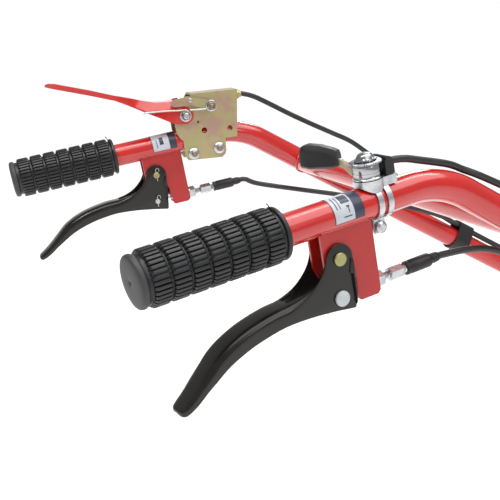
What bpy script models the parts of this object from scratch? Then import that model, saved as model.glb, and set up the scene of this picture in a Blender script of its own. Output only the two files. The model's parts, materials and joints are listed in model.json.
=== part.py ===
"""Handlebar of a walk-behind tiller: two gripped bars, a steering lever under each grip,
a clutch lever over the left grip, a throttle on the right bar, their cables and the
front mounting plate.  Units are metres, +Y is forward, +X is the operator's right, +Z is up.
The origin is the centre of the mounting plate's front face.
"""

import math

import bmesh
import bpy
from mathutils import Matrix, Vector

# ---------------------------------------------------------------- driving sizes
GAP = 0.0003                 # between pieces that touch
RUNNING = 0.0003             # radial room of a turning pin in its hole
RIGHT = 1
LEFT = -1

# frame of bent tube
TUBE_RADIUS = 0.014
TUBE_WALL = 0.002
GRIP_SPACING = 0.545         # between the bars' rear ends
SPLAY = math.radians(6.85)   # each bar's turn outwards at the grips
PITCH = math.radians(11.3)   # rise of the gripped stretch
KNEE_DISTANCE = 0.294        # rear end to the first bend's corner
KNEE_RADIUS = 0.094
DROP = math.radians(27.3)    # fall of the lower stretch
LOWER_RUN = 0.52             # first bend's corner to the second's
TOE_IN = math.radians(40.0)
TOE_RADIUS = 0.07
FOOT_SPACING = 0.15          # between the bars' front ends
CROSS_TUBE_AT = 0.104        # along the lower stretch, from the first bend's corner
CROSS_TUBE_RADIUS = 0.014
PLATE_WIDTH = 0.23
PLATE_HEIGHT = 0.12
PLATE_THICKNESS = 0.006
PLATE_HOLE_RADIUS = 0.0055
PLATE_HOLES_ACROSS = 0.06
PLATE_HOLES_UP = 0.08

# rubber grips
GRIP_LENGTH = 0.131
GRIP_RADIUS = 0.0235
GRIP_CAP = 0.0032
FLANGE_RADIUS = 0.0222
FLANGE_THICKNESS = 0.005

# steering lever brackets
BRACKET_HALF_WIDTH = 0.0105
BRACKET_SHEET = 0.0025
BRACKET_REAR = 0.161
BRACKET_FRONT = 0.212
BRACKET_STEP = 0.052         # depth of the wide part below the bar's axis
BRACKET_DEPTH = 0.076
LEG_REAR = 0.188

# steering levers
LEVER_SHEET = 0.0025
LEVER_SIDE_ROOM = 0.0003
PIVOT_Y = 0.1745
PIVOT_Z = -0.0335
PIVOT_BOSS_RADIUS = 0.0127
PIVOT_PIN_RADIUS = 0.004
PIVOT_HEAD_RADIUS = 0.0058
LEVER_WEB_FRONT = 0.140      # where the top of the blade opens between the cheeks
LEVER_BLADE_REAR = 0.042     # where the blade's hollow underside starts
LEFT_LEVER_LIFT = math.radians(3.5)
CABLE_PIN_Y = 0.171
CABLE_PIN_Z = -0.0668
CABLE_PIN_RADIUS = 0.003
CABLE_PIN_HEAD_RADIUS = 0.0068
PIN_TAIL = 0.0052            # what stands out past a lever's inner cheek
COTTER_RADIUS = 0.0007
YOKE_HALF_WIDTH = 0.005
YOKE_WALL = 0.0022
YOKE_RISE = 0.0048           # room for the pin to rise in the yoke

# cable adjusters
CABLE_RADIUS = 0.00325
WIRE_RADIUS = 0.001
ADJUSTER_Z = -0.068
ADJUSTER_RADIUS = 0.0035
ADJUSTER_BORE = 0.0017
ADJUSTER_REAR = 0.189
HEX_REAR = 0.2285
HEX_FRONT = 0.2425
HEX_FLATS = 0.011
ADJUSTER_FRONT = 0.2520
JAM_NUT_LENGTH = 0.009
JAM_NUT_FLATS = 0.013
BOOT_REAR = 0.2462
BOOT_LENGTH = 0.036
BOOT_RADIUS = 0.0062
BOOT_NECK_RADIUS = 0.0046
BOOT_NECK_LENGTH = 0.009

# clutch bracket, lever and lock link
CLUTCH_SHEET = 0.002
CLUTCH_INNER_HALF = TUBE_RADIUS + GAP
CLUTCH_PIVOT = (0.2262, 0.032)
CLUTCH_BOSS_RADIUS = 0.0105
CLUTCH_PIN_RADIUS = 0.004
CLUTCH_LEVER_SHEET = 0.002
CLUTCH_BLADE_HALF_WIDTH = 0.008
LINK_PIVOT = (0.2604, 0.0377)
LINK_SHEET = 0.0022
LINK_HALF_HEIGHT = 0.0062
LINK_PIN_RADIUS = 0.003
CLAMP_BOLTS_Y = (0.2273, 0.2608)
CLAMP_BOLT_RADIUS = 0.003
CABLE_STOP_REAR = 0.2950
CABLE_STOP_THICKNESS = 0.0023
CLUTCH_CABLE_X = -0.008
CROSS_PIN = (0.2230, 0.0482)
CROSS_PIN_RADIUS = 0.002
EYE_DROP = 0.0031            # room for the cross pin to fall in the wire's eye
WIRE_FALL = math.radians(3.9)
OUTBOARD_CHEEK_FRONT = 0.2700

# throttle
THROTTLE_Y = 0.2213
STRAP_THICKNESS = 0.0015
STRAP_REAR = 0.2190
STRAP_FRONT = 0.2337
STRAP_BAND = 0.0052
EAR_DEPTH = TUBE_RADIUS + 0.0135
EAR_GAP = 0.003
EAR_THICKNESS = 0.002
EAR_WIDTH = 0.011
CLAMP_SCREW_Z = -TUBE_RADIUS - 0.0085
CLAMP_SCREW_RADIUS = 0.0022
BASE_RADIUS = 0.013
BASE_TOP = 0.0202
HUB_RADIUS = 0.0115
HUB_HEIGHT = 0.0125
STUD_RADIUS = 0.003
RIM_RADIUS = 0.0135
RIM_THICKNESS = 0.0025
DOME_RADIUS = 0.009
DOME_HEIGHT = 0.0062
ARM_THICKNESS = 0.0035
ARM_HEIGHT = 0.007
ARM_ANGLE = math.radians(215.0)   # the lever's bearing at rest, from outboard, seen from above
KNOB_REACH = 0.0225
KNOB_LENGTH = 0.034
KNOB_HALF_THICKNESS = 0.0062
BLOCK_HALF_WIDTH = 0.009
BLOCK_FRONT = 0.2430
BLOCK_HEIGHT = 0.016

# what holds the cables on the lower stretch
STRAP_AT = 0.385
CABLE_STRAP_WIDTH = 0.025
CABLE_STRAP_WALL = 0.0025
ANCHOR_AT = 0.492
ANCHOR_THICKNESS = 0.003
FERRULE_RADIUS = 0.0048
FERRULE_LENGTH = 0.012
FERRULE_NECK = 0.0024
FERRULE_TAIL = 0.030
# sideways and upward places of the two cables on each lower stretch, from the tube's axis
SEAT_LIFT = 0.0054
CABLE_SEATS = {
    "steering": (-0.0062, TUBE_RADIUS + SEAT_LIFT),
    "second": (0.0050, TUBE_RADIUS + SEAT_LIFT),
}


# ---------------------------------------------------------------- frames
def bar_frame(side):
    """Frame of a gripped stretch: origin at the bar's rear end, Y along the bar."""
    rear = Vector((side * GRIP_SPACING / 2.0, 0.0, 0.0)) - MOUNT_FROM_REAR
    return Matrix.Translation(rear) @ Matrix.Rotation(side * SPLAY, 4, "Z") @ Matrix.Rotation(PITCH, 4, "X")


def lower_frame(side):
    """Frame of a lower stretch: origin at the first bend's corner, Y along the tube."""
    knee = bar_frame(side) @ Vector((0.0, KNEE_DISTANCE, 0.0))
    return Matrix.Translation(knee) @ Matrix.Rotation(-DROP, 4, "X")


def centre_line():
    """Corners of the right bar's axis, measured from midway between the rear ends."""
    rear = Vector((GRIP_SPACING / 2.0, 0.0, 0.0))
    turn = Matrix.Rotation(SPLAY, 3, "Z") @ Matrix.Rotation(PITCH, 3, "X")
    along = turn @ Vector((0.0, 1.0, 0.0))
    knee = rear + along * KNEE_DISTANCE
    down = Vector((0.0, math.cos(DROP), -math.sin(DROP)))
    toe = knee + down * LOWER_RUN
    inward = down * math.cos(TOE_IN) + Vector((-math.sin(TOE_IN), 0.0, 0.0))
    run = (toe.x - FOOT_SPACING / 2.0) / math.sin(TOE_IN)
    return rear, knee, toe, toe + inward * run


FOOT = centre_line()[3]
MOUNT_FROM_REAR = Vector((0.0, FOOT.y + PLATE_THICKNESS + GAP, FOOT.z))


# ---------------------------------------------------------------- mesh helpers
def circle(radius, count, phase=0.0):
    """Points of a circle about the origin, as (first, second) pairs."""
    step = 2.0 * math.pi / count
    return [(radius * math.cos(phase + i * step), radius * math.sin(phase + i * step)) for i in range(count)]


def hexagon(flats, count=12):
    """A hexagon given by its width across flats, as a ring of count points."""
    ring = []
    for i in range(count):
        angle = 2.0 * math.pi * i / count
        off = (angle + math.pi / 6.0) % (math.pi / 3.0) - math.pi / 6.0
        radius = flats / 2.0 / math.cos(off)
        ring.append((radius * math.cos(angle), radius * math.sin(angle)))
    return ring


def arc(centre, radius, start, end, steps):
    """Points of an arc between two angles in degrees."""
    points = []
    for i in range(steps + 1):
        angle = math.radians(start + (end - start) * i / steps)
        points.append((centre[0] + radius * math.cos(angle), centre[1] + radius * math.sin(angle)))
    return points


def loft(loops, closed=False):
    """A closed body through loops of equal length; closed joins the last loop to the first."""
    bm = bmesh.new()
    rings = [[bm.verts.new(point) for point in loop] for loop in loops]
    pairs = list(zip(rings, rings[1:]))
    if closed:
        pairs.append((rings[-1], rings[0]))
    for low, high in pairs:
        count = len(low)
        for i in range(count):
            bm.faces.new((low[i], low[(i + 1) % count], high[(i + 1) % count], high[i]))
    if not closed:
        bm.faces.new(list(reversed(rings[0])))
        bm.faces.new(rings[-1])
    bmesh.ops.recalc_face_normals(bm, faces=bm.faces)
    return bm


def prism(outline, low, high):
    """An outline in the Y-Z plane, extruded along X from low to high."""
    return loft([[(level, y, z) for y, z in outline] for level in (low, high)])


def slab(outline, low, high):
    """An outline in the X-Y plane, extruded along Z from low to high."""
    return loft([[(x, y, level) for x, y in outline] for level in (low, high)])


def lamina(outline, low, high):
    """An outline in the X-Z plane, extruded along Y from low to high."""
    return loft([[(x, level, z) for x, z in outline] for level in (low, high)])


def box(low, high):
    outline = [(low[0], low[1]), (high[0], low[1]), (high[0], high[1]), (low[0], high[1])]
    return slab(outline, low[2], high[2])


def spool(stations, bore=None, count=16):
    """A turned body along Y.  A station is (y, radius) or (y, flats, "hex").

    bore is (start, end, radius); a blind bore starts at the body's own first station."""
    def ring(station):
        if len(station) == 3:
            return [(a, station[0], b) for a, b in hexagon(station[1], count)]
        return [(a, station[0], b) for a, b in circle(station[1], count)]

    loops = [ring(station) for station in stations]
    if bore is None:
        return loft(loops)
    start, end, radius = bore
    inner = [ring((start, radius)), ring((end, radius))]
    if end >= stations[-1][0]:
        return loft(loops + [inner[1], inner[0]], closed=True)
    return loft([inner[1], inner[0]] + loops)


def sweep(points, radius, count=12, cap_plane=None):
    """Rings of a round tube along points, each square to the path's own direction."""
    path = [Vector(point) for point in points]
    tangents = []
    for i in range(len(path)):
        before = path[max(i - 1, 0)]
        after = path[min(i + 1, len(path) - 1)]
        tangents.append((after - before).normalized())
    side = tangents[0].orthogonal().normalized()
    rings = []
    for point, tangent in zip(path, tangents):
        side = (side - tangent * side.dot(tangent)).normalized()
        up = tangent.cross(side)
        rings.append([point + side * a + up * b for a, b in circle(radius, count)])
    if cap_plane is not None:
        last = tangents[-1]
        rings[-1] = [spot + last * ((cap_plane - spot.y) / last.y) for spot in rings[-1]]
    return rings


def pipe(outer, inner):
    """A hollow tube, open at both ends, from its outer and inner rings."""
    return loft(outer + list(reversed(inner)), closed=True)


def rounded_path(corners, radii, steps=7):
    """The corners of a bent tube's axis, each inner corner replaced by its arc."""
    points = [corners[0]]
    for i, radius in enumerate(radii, start=1):
        back = (corners[i - 1] - corners[i]).normalized()
        ahead = (corners[i + 1] - corners[i]).normalized()
        half = back.angle(ahead) / 2.0
        setback = radius / math.tan(half)
        middle = corners[i] + (back + ahead).normalized() * (radius / math.sin(half))
        first = corners[i] + back * setback - middle
        last = corners[i] + ahead * setback - middle
        sweep_angle = first.angle(last)
        axis = first.cross(last).normalized()
        for k in range(steps + 1):
            points.append(middle + Matrix.Rotation(sweep_angle * k / steps, 3, axis) @ first)
    points.append(corners[-1])
    return points


def turn_mesh(bm, matrix):
    bmesh.ops.transform(bm, matrix=matrix, verts=bm.verts)
    return bm


# bodies made along Y that lie along X or Z
ALONG_X = Matrix.Rotation(math.radians(-90.0), 4, "Z")
ALONG_Z = Matrix.Rotation(math.radians(90.0), 4, "X")


# ---------------------------------------------------------------- objects and materials
def material(name, colour, roughness, metallic=0.0):
    made = bpy.data.materials.get(name)
    if made is None:
        made = bpy.data.materials.new(name)
        made.use_nodes = True
        shader = made.node_tree.nodes["Principled BSDF"]
        shader.inputs["Base Color"].default_value = (*colour, 1.0)
        shader.inputs["Roughness"].default_value = roughness
        shader.inputs["Metallic"].default_value = metallic
    return made


RED_PAINT = ("red_paint", (0.55, 0.020, 0.015), 0.3, 0.0)
RUBBER = ("black_rubber", (0.012, 0.012, 0.014), 0.6, 0.0)
BLACK_PAINT = ("black_paint", (0.014, 0.013, 0.012), 0.4, 0.0)
BLACK_PLASTIC = ("black_plastic", (0.012, 0.012, 0.013), 0.5, 0.0)
YELLOW_ZINC = ("yellow_zinc", (0.55, 0.43, 0.22), 0.35, 1.0)
WHITE_ZINC = ("white_zinc", (0.62, 0.64, 0.65), 0.35, 1.0)
CHROME = ("chrome", (0.80, 0.80, 0.80), 0.12, 1.0)
STEEL_WIRE = ("steel_wire", (0.55, 0.55, 0.53), 0.35, 1.0)
CABLE_SHEATH = ("cable_sheath", (0.010, 0.010, 0.011), 0.45, 0.0)


def add_object(name, bm, finish, frame, pivot=(0.0, 0.0, 0.0), turn=0.0, side=RIGHT):
    """Make a named object from a mesh given in a right-hand frame.

    On the left the mesh is mirrored.  pivot is the object's origin in the frame and
    turn is a rotation about the frame's X axis through it."""
    centre = Vector(pivot)
    turn_mesh(bm, Matrix.Translation(-centre))
    if side == LEFT:
        turn_mesh(bm, Matrix.Scale(-1.0, 4, Vector((1.0, 0.0, 0.0))))
        bmesh.ops.reverse_faces(bm, faces=bm.faces)
        centre.x = -centre.x
    mesh = bpy.data.meshes.new(name)
    bm.to_mesh(mesh)
    bm.free()
    mesh.shade_smooth()
    mesh.set_sharp_from_angle(angle=math.radians(35.0))
    piece = bpy.data.objects.new(name, mesh)
    bpy.context.scene.collection.objects.link(piece)
    piece.matrix_world = frame @ Matrix.Translation(centre) @ Matrix.Rotation(turn, 4, "X")
    if finish is not None:
        mesh.materials.append(material(*finish))
    return piece


def cut(piece, bm, frame, pivot=(0.0, 0.0, 0.0), turn=0.0, side=RIGHT, join=False):
    """Take a mesh out of a piece, or join it on, with a Boolean modifier."""
    number = len(piece.modifiers) + 1
    tool = add_object(f"{piece.name}.cutter{number}", bm, None, frame, pivot, turn, side)
    tool.hide_render = True
    tool.display_type = "WIRE"
    boolean = piece.modifiers.new(f"cut_{number}", "BOOLEAN")
    boolean.operation = "UNION" if join else "DIFFERENCE"
    boolean.solver = "EXACT"
    boolean.object = tool
    return piece


def side_name(side, name):
    return ("right_" if side == RIGHT else "left_") + name


def rod_x(y, z, radius, low, high, count=16):
    """A plain round rod along X."""
    rings = [[(level, y + a, z + b) for a, b in circle(radius, count)] for level in (low, high)]
    return loft(rings)


def rod_z(x, y, radius, low, high, count=16):
    """A plain round rod along Z."""
    return slab([(x + a, y + b) for a, b in circle(radius, count)], low, high)


# ---------------------------------------------------------------- frame of the handlebar
def build_frame():
    corners = [corner - MOUNT_FROM_REAR for corner in centre_line()]
    along = (corners[1] - corners[0]).normalized()
    corners[0] = corners[0] + along * (GRIP_CAP + GAP)
    path = rounded_path(corners, (KNEE_RADIUS, TOE_RADIUS))
    plate_back = -PLATE_THICKNESS - GAP
    for side in (RIGHT, LEFT):
        outer = sweep(path, TUBE_RADIUS, 20, plate_back)
        inner = sweep(path, TUBE_RADIUS - TUBE_WALL, 20, plate_back)
        add_object(side_name(side, "handle_bar"), pipe(outer, inner), RED_PAINT, Matrix(), side=side)

    centre = lower_frame(RIGHT) @ Vector((0.0, CROSS_TUBE_AT, 0.0))
    lean = Matrix.Rotation(-DROP, 4, "X")
    reach = TUBE_RADIUS + GAP
    rings = []
    for radius in (CROSS_TUBE_RADIUS, CROSS_TUBE_RADIUS - TUBE_WALL):
        ends = []
        for way in (-1.0, 1.0):
            ring = []
            for a, b in circle(radius, 20):
                half = centre.x - math.sqrt(reach * reach - b * b)
                ring.append((way * half, a, b))
            ends.append(ring)
        rings.append(ends)
    tube = pipe(rings[0], rings[1])
    place = Matrix.Translation((0.0, centre.y, centre.z)) @ lean
    add_object("cross_tube", tube, RED_PAINT, place)

    half_width = PLATE_WIDTH / 2.0
    half_height = PLATE_HEIGHT / 2.0
    chamfer = 0.012
    outline = [
        (-half_width + chamfer, -half_height), (half_width - chamfer, -half_height),
        (half_width, -half_height + chamfer), (half_width, half_height - chamfer),
        (half_width - chamfer, half_height), (-half_width + chamfer, half_height),
        (-half_width, half_height - chamfer), (-half_width, -half_height + chamfer),
    ]
    plate = add_object("mount_plate", lamina(outline, -PLATE_THICKNESS, 0.0), RED_PAINT, Matrix())
    for across in (-0.5, 0.5):
        for up in (-0.5, 0.5):
            hole = spool([(-PLATE_THICKNESS - 0.01, PLATE_HOLE_RADIUS), (0.01, PLATE_HOLE_RADIUS)])
            spot = Matrix.Translation((across * PLATE_HOLES_ACROSS, 0.0, up * PLATE_HOLES_UP))
            cut(plate, hole, spot)


# ---------------------------------------------------------------- grips
def build_grip(side):
    frame = bar_frame(side)
    flange_rear = GRIP_LENGTH - FLANGE_THICKNESS
    stations = [
        (0.0, 0.0195), (0.0015, 0.0215), (0.0065, 0.0215), (0.0075, 0.0205), (0.0095, 0.0205),
        (0.0105, GRIP_RADIUS - 0.0008), (0.0120, GRIP_RADIUS),
        (flange_rear - 0.004, GRIP_RADIUS), (flange_rear - 0.002, GRIP_RADIUS - 0.0012),
        (flange_rear, 0.0195), (flange_rear, FLANGE_RADIUS), (GRIP_LENGTH, FLANGE_RADIUS - 0.001),
    ]
    bore = TUBE_RADIUS + GAP
    inner = [(GRIP_LENGTH, bore), (GRIP_CAP, bore)]
    loops = [[(a, y, b) for a, b in circle(radius, 20)] for y, radius in stations + inner]
    add_object(side_name(side, "grip"), loft(loops), RUBBER, frame, side=side)


# ---------------------------------------------------------------- steering levers
def lever_upper_edge():
    """Rear part of the lever's upper edge, from the tip to the boss, as (y, z)."""
    return [
        (0.0180, -0.1110), (0.0260, -0.1035), (0.0340, -0.0958), (0.0430, -0.0868),
        (0.0520, -0.0785), (0.0640, -0.0712), (0.0800, -0.0648), (0.0960, -0.0608),
        (0.1100, -0.0585), (0.1240, -0.0575), (0.1390, -0.0540), (0.1500, -0.0480),
        (0.1580, -0.0395),
    ]


def lever_lower_edge():
    """The lever's lower edge, from the front corner back to the tip."""
    return [
        (0.1825, -0.0790), (0.1628, -0.0760), (0.1406, -0.0738), (0.1250, -0.0732),
        (0.1110, -0.0737), (0.0940, -0.0768), (0.0760, -0.0815), (0.0600, -0.0882),
        (0.0460, -0.0968), (0.0310, -0.1072), (0.0220, -0.1122), (0.0165, -0.1132),
    ]


def blade_edge(outer_half):
    """One side of the blade seen from above, narrowing to the tip, as (x, y)."""
    shares = [(0.0, 0.20), (0.0160, 0.34), (0.0190, 0.52), (0.0240, 0.68), (0.0320, 0.84), (0.0450, 0.96)]
    return [(outer_half * share, y) for y, share in shares] + [(outer_half + 0.0005, 0.0620)]


def build_steering_lever(side):
    frame = bar_frame(side)
    pivot = (0.0, PIVOT_Y, PIVOT_Z)
    turn = -LEFT_LEVER_LIFT if side == LEFT else 0.0
    inner_half = BRACKET_HALF_WIDTH + LEVER_SIDE_ROOM
    outer_half = inner_half + LEVER_SHEET
    boss = arc((PIVOT_Y, PIVOT_Z), PIVOT_BOSS_RADIUS, 172.0, -12.0, 10)
    outline = lever_upper_edge() + boss + [(0.1843, -0.0530), (0.1843, -0.0700)] + lever_lower_edge()
    name = side_name(side, "steering_lever")
    lever = add_object(name, prism(outline, -outer_half, outer_half), BLACK_PAINT, frame, pivot, turn, side)
    beyond = outer_half + 0.02
    edge = blade_edge(outer_half) + [(beyond, 0.0620), (beyond, 0.0)]
    for way in (-1.0, 1.0):
        cut(lever, slab([(way * x, y) for x, y in edge], -0.16, -0.03), frame, pivot, turn, side)

    top = [(y, z - LEVER_SHEET) for y, z in lever_upper_edge() if LEVER_BLADE_REAR < y < LEVER_WEB_FRONT]
    under = -0.16
    hollow = [(top[0][0], under)] + top
    hollow += [(LEVER_WEB_FRONT, top[-1][1]), (LEVER_WEB_FRONT, 0.0), (0.21, 0.0), (0.21, under)]
    cut(lever, prism(hollow, -inner_half, inner_half), frame, pivot, turn, side)
    through = outer_half + 0.01
    cut(lever, rod_x(PIVOT_Y, PIVOT_Z, PIVOT_PIN_RADIUS + RUNNING, -through, through), frame, pivot, turn, side)
    cut(lever, rod_x(CABLE_PIN_Y, CABLE_PIN_Z, CABLE_PIN_RADIUS + GAP, -through, through), frame, pivot, turn, side)

    pin_head = outer_half + GAP
    tail = -outer_half - PIN_TAIL
    pivot_pin = spool([
        (tail, PIVOT_PIN_RADIUS - 0.0008), (tail + 0.0008, PIVOT_PIN_RADIUS), (pin_head, PIVOT_PIN_RADIUS),
        (pin_head, PIVOT_HEAD_RADIUS), (pin_head + 0.0016, PIVOT_HEAD_RADIUS),
        (pin_head + 0.0022, PIVOT_HEAD_RADIUS - 0.0008),
    ])
    turn_mesh(pivot_pin, Matrix.Translation((0.0, PIVOT_Y, PIVOT_Z)) @ ALONG_X)
    piece = add_object(side_name(side, "lever_pivot_pin"), pivot_pin, YELLOW_ZINC, frame, pivot, 0.0, side)
    cotter_x = -outer_half - PIN_TAIL / 2.0
    hole = rod_z(cotter_x, PIVOT_Y, COTTER_RADIUS + GAP, PIVOT_Z - 0.02, PIVOT_Z + 0.02, 10)
    cut(piece, hole, frame, pivot, 0.0, side)
    cotter = cotter_wire(cotter_x, PIVOT_Y, PIVOT_Z, PIVOT_PIN_RADIUS)
    add_object(side_name(side, "pivot_cotter"), cotter, STEEL_WIRE, frame, pivot, 0.0, side)

    cable_pin = spool([
        (tail, CABLE_PIN_RADIUS - 0.0006), (tail + 0.0006, CABLE_PIN_RADIUS), (pin_head, CABLE_PIN_RADIUS),
        (pin_head, CABLE_PIN_HEAD_RADIUS), (pin_head + 0.0018, CABLE_PIN_HEAD_RADIUS),
        (pin_head + 0.0024, CABLE_PIN_HEAD_RADIUS - 0.0008),
    ])
    turn_mesh(cable_pin, Matrix.Translation((0.0, CABLE_PIN_Y, CABLE_PIN_Z)) @ ALONG_X)
    piece = add_object(side_name(side, "cable_pin"), cable_pin, WHITE_ZINC, frame, pivot, turn, side)
    hole = rod_z(cotter_x, CABLE_PIN_Y, COTTER_RADIUS + GAP, CABLE_PIN_Z - 0.02, CABLE_PIN_Z + 0.02, 10)
    cut(piece, hole, frame, pivot, turn, side)
    cotter = cotter_wire(cotter_x, CABLE_PIN_Y, CABLE_PIN_Z, CABLE_PIN_RADIUS)
    add_object(side_name(side, "cable_pin_cotter"), cotter, STEEL_WIRE, frame, pivot, turn, side)


def cotter_wire(x, y, z, pin_radius):
    """A spring cotter: one straight leg down through the pin, and its loop above."""
    loop = 0.0022
    path = [(y, z - pin_radius - 0.0035), (y, z - pin_radius), (y, z), (y, z + pin_radius + 0.001)]
    path += arc((y + loop, z + pin_radius + 0.0022), loop, 180.0, -60.0, 8)
    rings = sweep([(x, a, b) for a, b in path], COTTER_RADIUS, 6)
    return loft(rings)


def build_lever_bracket(side):
    frame = bar_frame(side)
    outline = [
        (BRACKET_REAR, -0.005), (BRACKET_REAR, -BRACKET_STEP + 0.010), (BRACKET_REAR + 0.004, -BRACKET_STEP),
        (LEG_REAR - 0.002, -BRACKET_STEP), (LEG_REAR, -BRACKET_STEP - 0.002),
        (LEG_REAR + 0.0016, -BRACKET_DEPTH + 0.002), (LEG_REAR + 0.0036, -BRACKET_DEPTH),
        (BRACKET_FRONT - 0.003, -BRACKET_DEPTH), (BRACKET_FRONT, -BRACKET_DEPTH + 0.003),
        (BRACKET_FRONT, -0.005),
    ]
    name = side_name(side, "lever_bracket")
    bracket = add_object(name, prism(outline, -BRACKET_HALF_WIDTH, BRACKET_HALF_WIDTH), RED_PAINT, frame, side=side)
    inner = BRACKET_HALF_WIDTH - BRACKET_SHEET
    web_rear = BRACKET_FRONT - BRACKET_SHEET
    cut(bracket, box((-inner, BRACKET_REAR - 0.02, -0.1), (inner, web_rear, 0.01)), frame, side=side)
    saddle = spool([(BRACKET_REAR - 0.02, TUBE_RADIUS + GAP), (BRACKET_FRONT + 0.02, TUBE_RADIUS + GAP)], count=32)
    cut(bracket, saddle, frame, side=side)
    through = BRACKET_HALF_WIDTH + 0.01
    cut(bracket, rod_x(PIVOT_Y, PIVOT_Z, PIVOT_PIN_RADIUS + GAP, -through, through), frame, side=side)
    bore = spool([(web_rear - 0.01, ADJUSTER_RADIUS + GAP), (BRACKET_FRONT + 0.01, ADJUSTER_RADIUS + GAP)])
    turn_mesh(bore, Matrix.Translation((0.0, 0.0, ADJUSTER_Z)))
    cut(bracket, bore, frame, side=side)


def build_adjuster(side):
    frame = bar_frame(side)
    lift = Matrix.Translation((0.0, 0.0, ADJUSTER_Z))
    screw = spool([
        (ADJUSTER_REAR, ADJUSTER_RADIUS - 0.0005), (ADJUSTER_REAR + 0.0005, ADJUSTER_RADIUS),
        (HEX_REAR, ADJUSTER_RADIUS), (HEX_REAR, HEX_FLATS, "hex"), (HEX_FRONT, HEX_FLATS, "hex"),
        (HEX_FRONT, ADJUSTER_RADIUS), (ADJUSTER_FRONT, ADJUSTER_RADIUS),
    ], bore=(ADJUSTER_REAR, ADJUSTER_FRONT, ADJUSTER_BORE), count=12)
    add_object(side_name(side, "adjuster_screw"), turn_mesh(screw, lift), WHITE_ZINC, frame, side=side)

    nut_rear = BRACKET_FRONT + GAP
    nut_front = nut_rear + JAM_NUT_LENGTH
    nut = spool([
        (nut_rear, 0.0072), (nut_rear + 0.0018, 0.0072), (nut_rear + 0.0018, JAM_NUT_FLATS, "hex"),
        (nut_front, JAM_NUT_FLATS, "hex"),
    ], bore=(nut_rear, nut_front, ADJUSTER_RADIUS + GAP), count=12)
    add_object(side_name(side, "jam_nut"), turn_mesh(nut, lift), WHITE_ZINC, frame, side=side)

    boot_front = BOOT_REAR + BOOT_LENGTH
    neck_rear = boot_front - BOOT_NECK_LENGTH
    boot = spool([
        (BOOT_REAR, BOOT_RADIUS - 0.0004), (BOOT_REAR + 0.001, BOOT_RADIUS), (neck_rear - 0.003, BOOT_RADIUS),
        (neck_rear, BOOT_NECK_RADIUS), (boot_front, BOOT_NECK_RADIUS - 0.0003),
    ], bore=(BOOT_REAR, boot_front, ADJUSTER_RADIUS + GAP), count=14)
    add_object(side_name(side, "cable_boot"), turn_mesh(boot, lift), RUBBER, frame, side=side)


def slotted_eye(x, y, z, pin_radius, rise, drop, half_width, wall):
    """A loop of metal round a pin along X, tall enough for the pin to rise and drop in it."""
    room = pin_radius + 0.0006
    hole = arc((y, z + rise), room, 0.0, 180.0, 7) + arc((y, z - drop), room, 180.0, 360.0, 7)
    rim = arc((y, z + rise), room + wall, 0.0, 180.0, 7) + arc((y, z - drop), room + wall, 180.0, 360.0, 7)
    low = x - half_width
    high = x + half_width
    loops = []
    for level, shape in ((low, rim), (high, rim), (high, hole), (low, hole)):
        loops.append([(level, a, b) for a, b in shape])
    return loft(loops, closed=True)


def build_yoke(side):
    """The slotted yoke on the inner wire's end, which the cable pin draws back."""
    frame = bar_frame(side)
    lever_turn = Matrix.Rotation(-LEFT_LEVER_LIFT if side == LEFT else 0.0, 3, "X")
    arm = lever_turn @ Vector((0.0, CABLE_PIN_Y - PIVOT_Y, CABLE_PIN_Z - PIVOT_Z))
    y = PIVOT_Y + arm.y
    z = PIVOT_Z + arm.z
    eye = slotted_eye(0.0, y, z, CABLE_PIN_RADIUS, YOKE_RISE, 0.0002, YOKE_HALF_WIDTH, YOKE_WALL)
    origin = (0.0, y, ADJUSTER_Z)
    yoke = add_object(side_name(side, "cable_yoke"), eye, STEEL_WIRE, frame, origin, 0.0, side)
    wire = spool([(y + CABLE_PIN_RADIUS + 0.0014, WIRE_RADIUS), (HEX_FRONT - 0.004, WIRE_RADIUS)], count=8)
    turn_mesh(wire, Matrix.Translation((0.0, 0.0, ADJUSTER_Z)))
    cut(yoke, wire, frame, origin, 0.0, side, join=True)


# ---------------------------------------------------------------- clutch control on the left bar
def clutch_bracket_outline():
    return [
        (0.2395, 0.0568), (0.2280, 0.0420), (0.2115, 0.0300), (0.2110, 0.0140), (0.2135, 0.0060),
        (0.2175, 0.0005), (0.2160, -0.0180), (0.2190, -0.0245), (0.2625, -0.0300), (0.2670, -0.0275),
        (0.2695, -0.0230), (0.2715, -0.0070), (0.2870, -0.0085), (0.2985, 0.0500),
    ]


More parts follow.
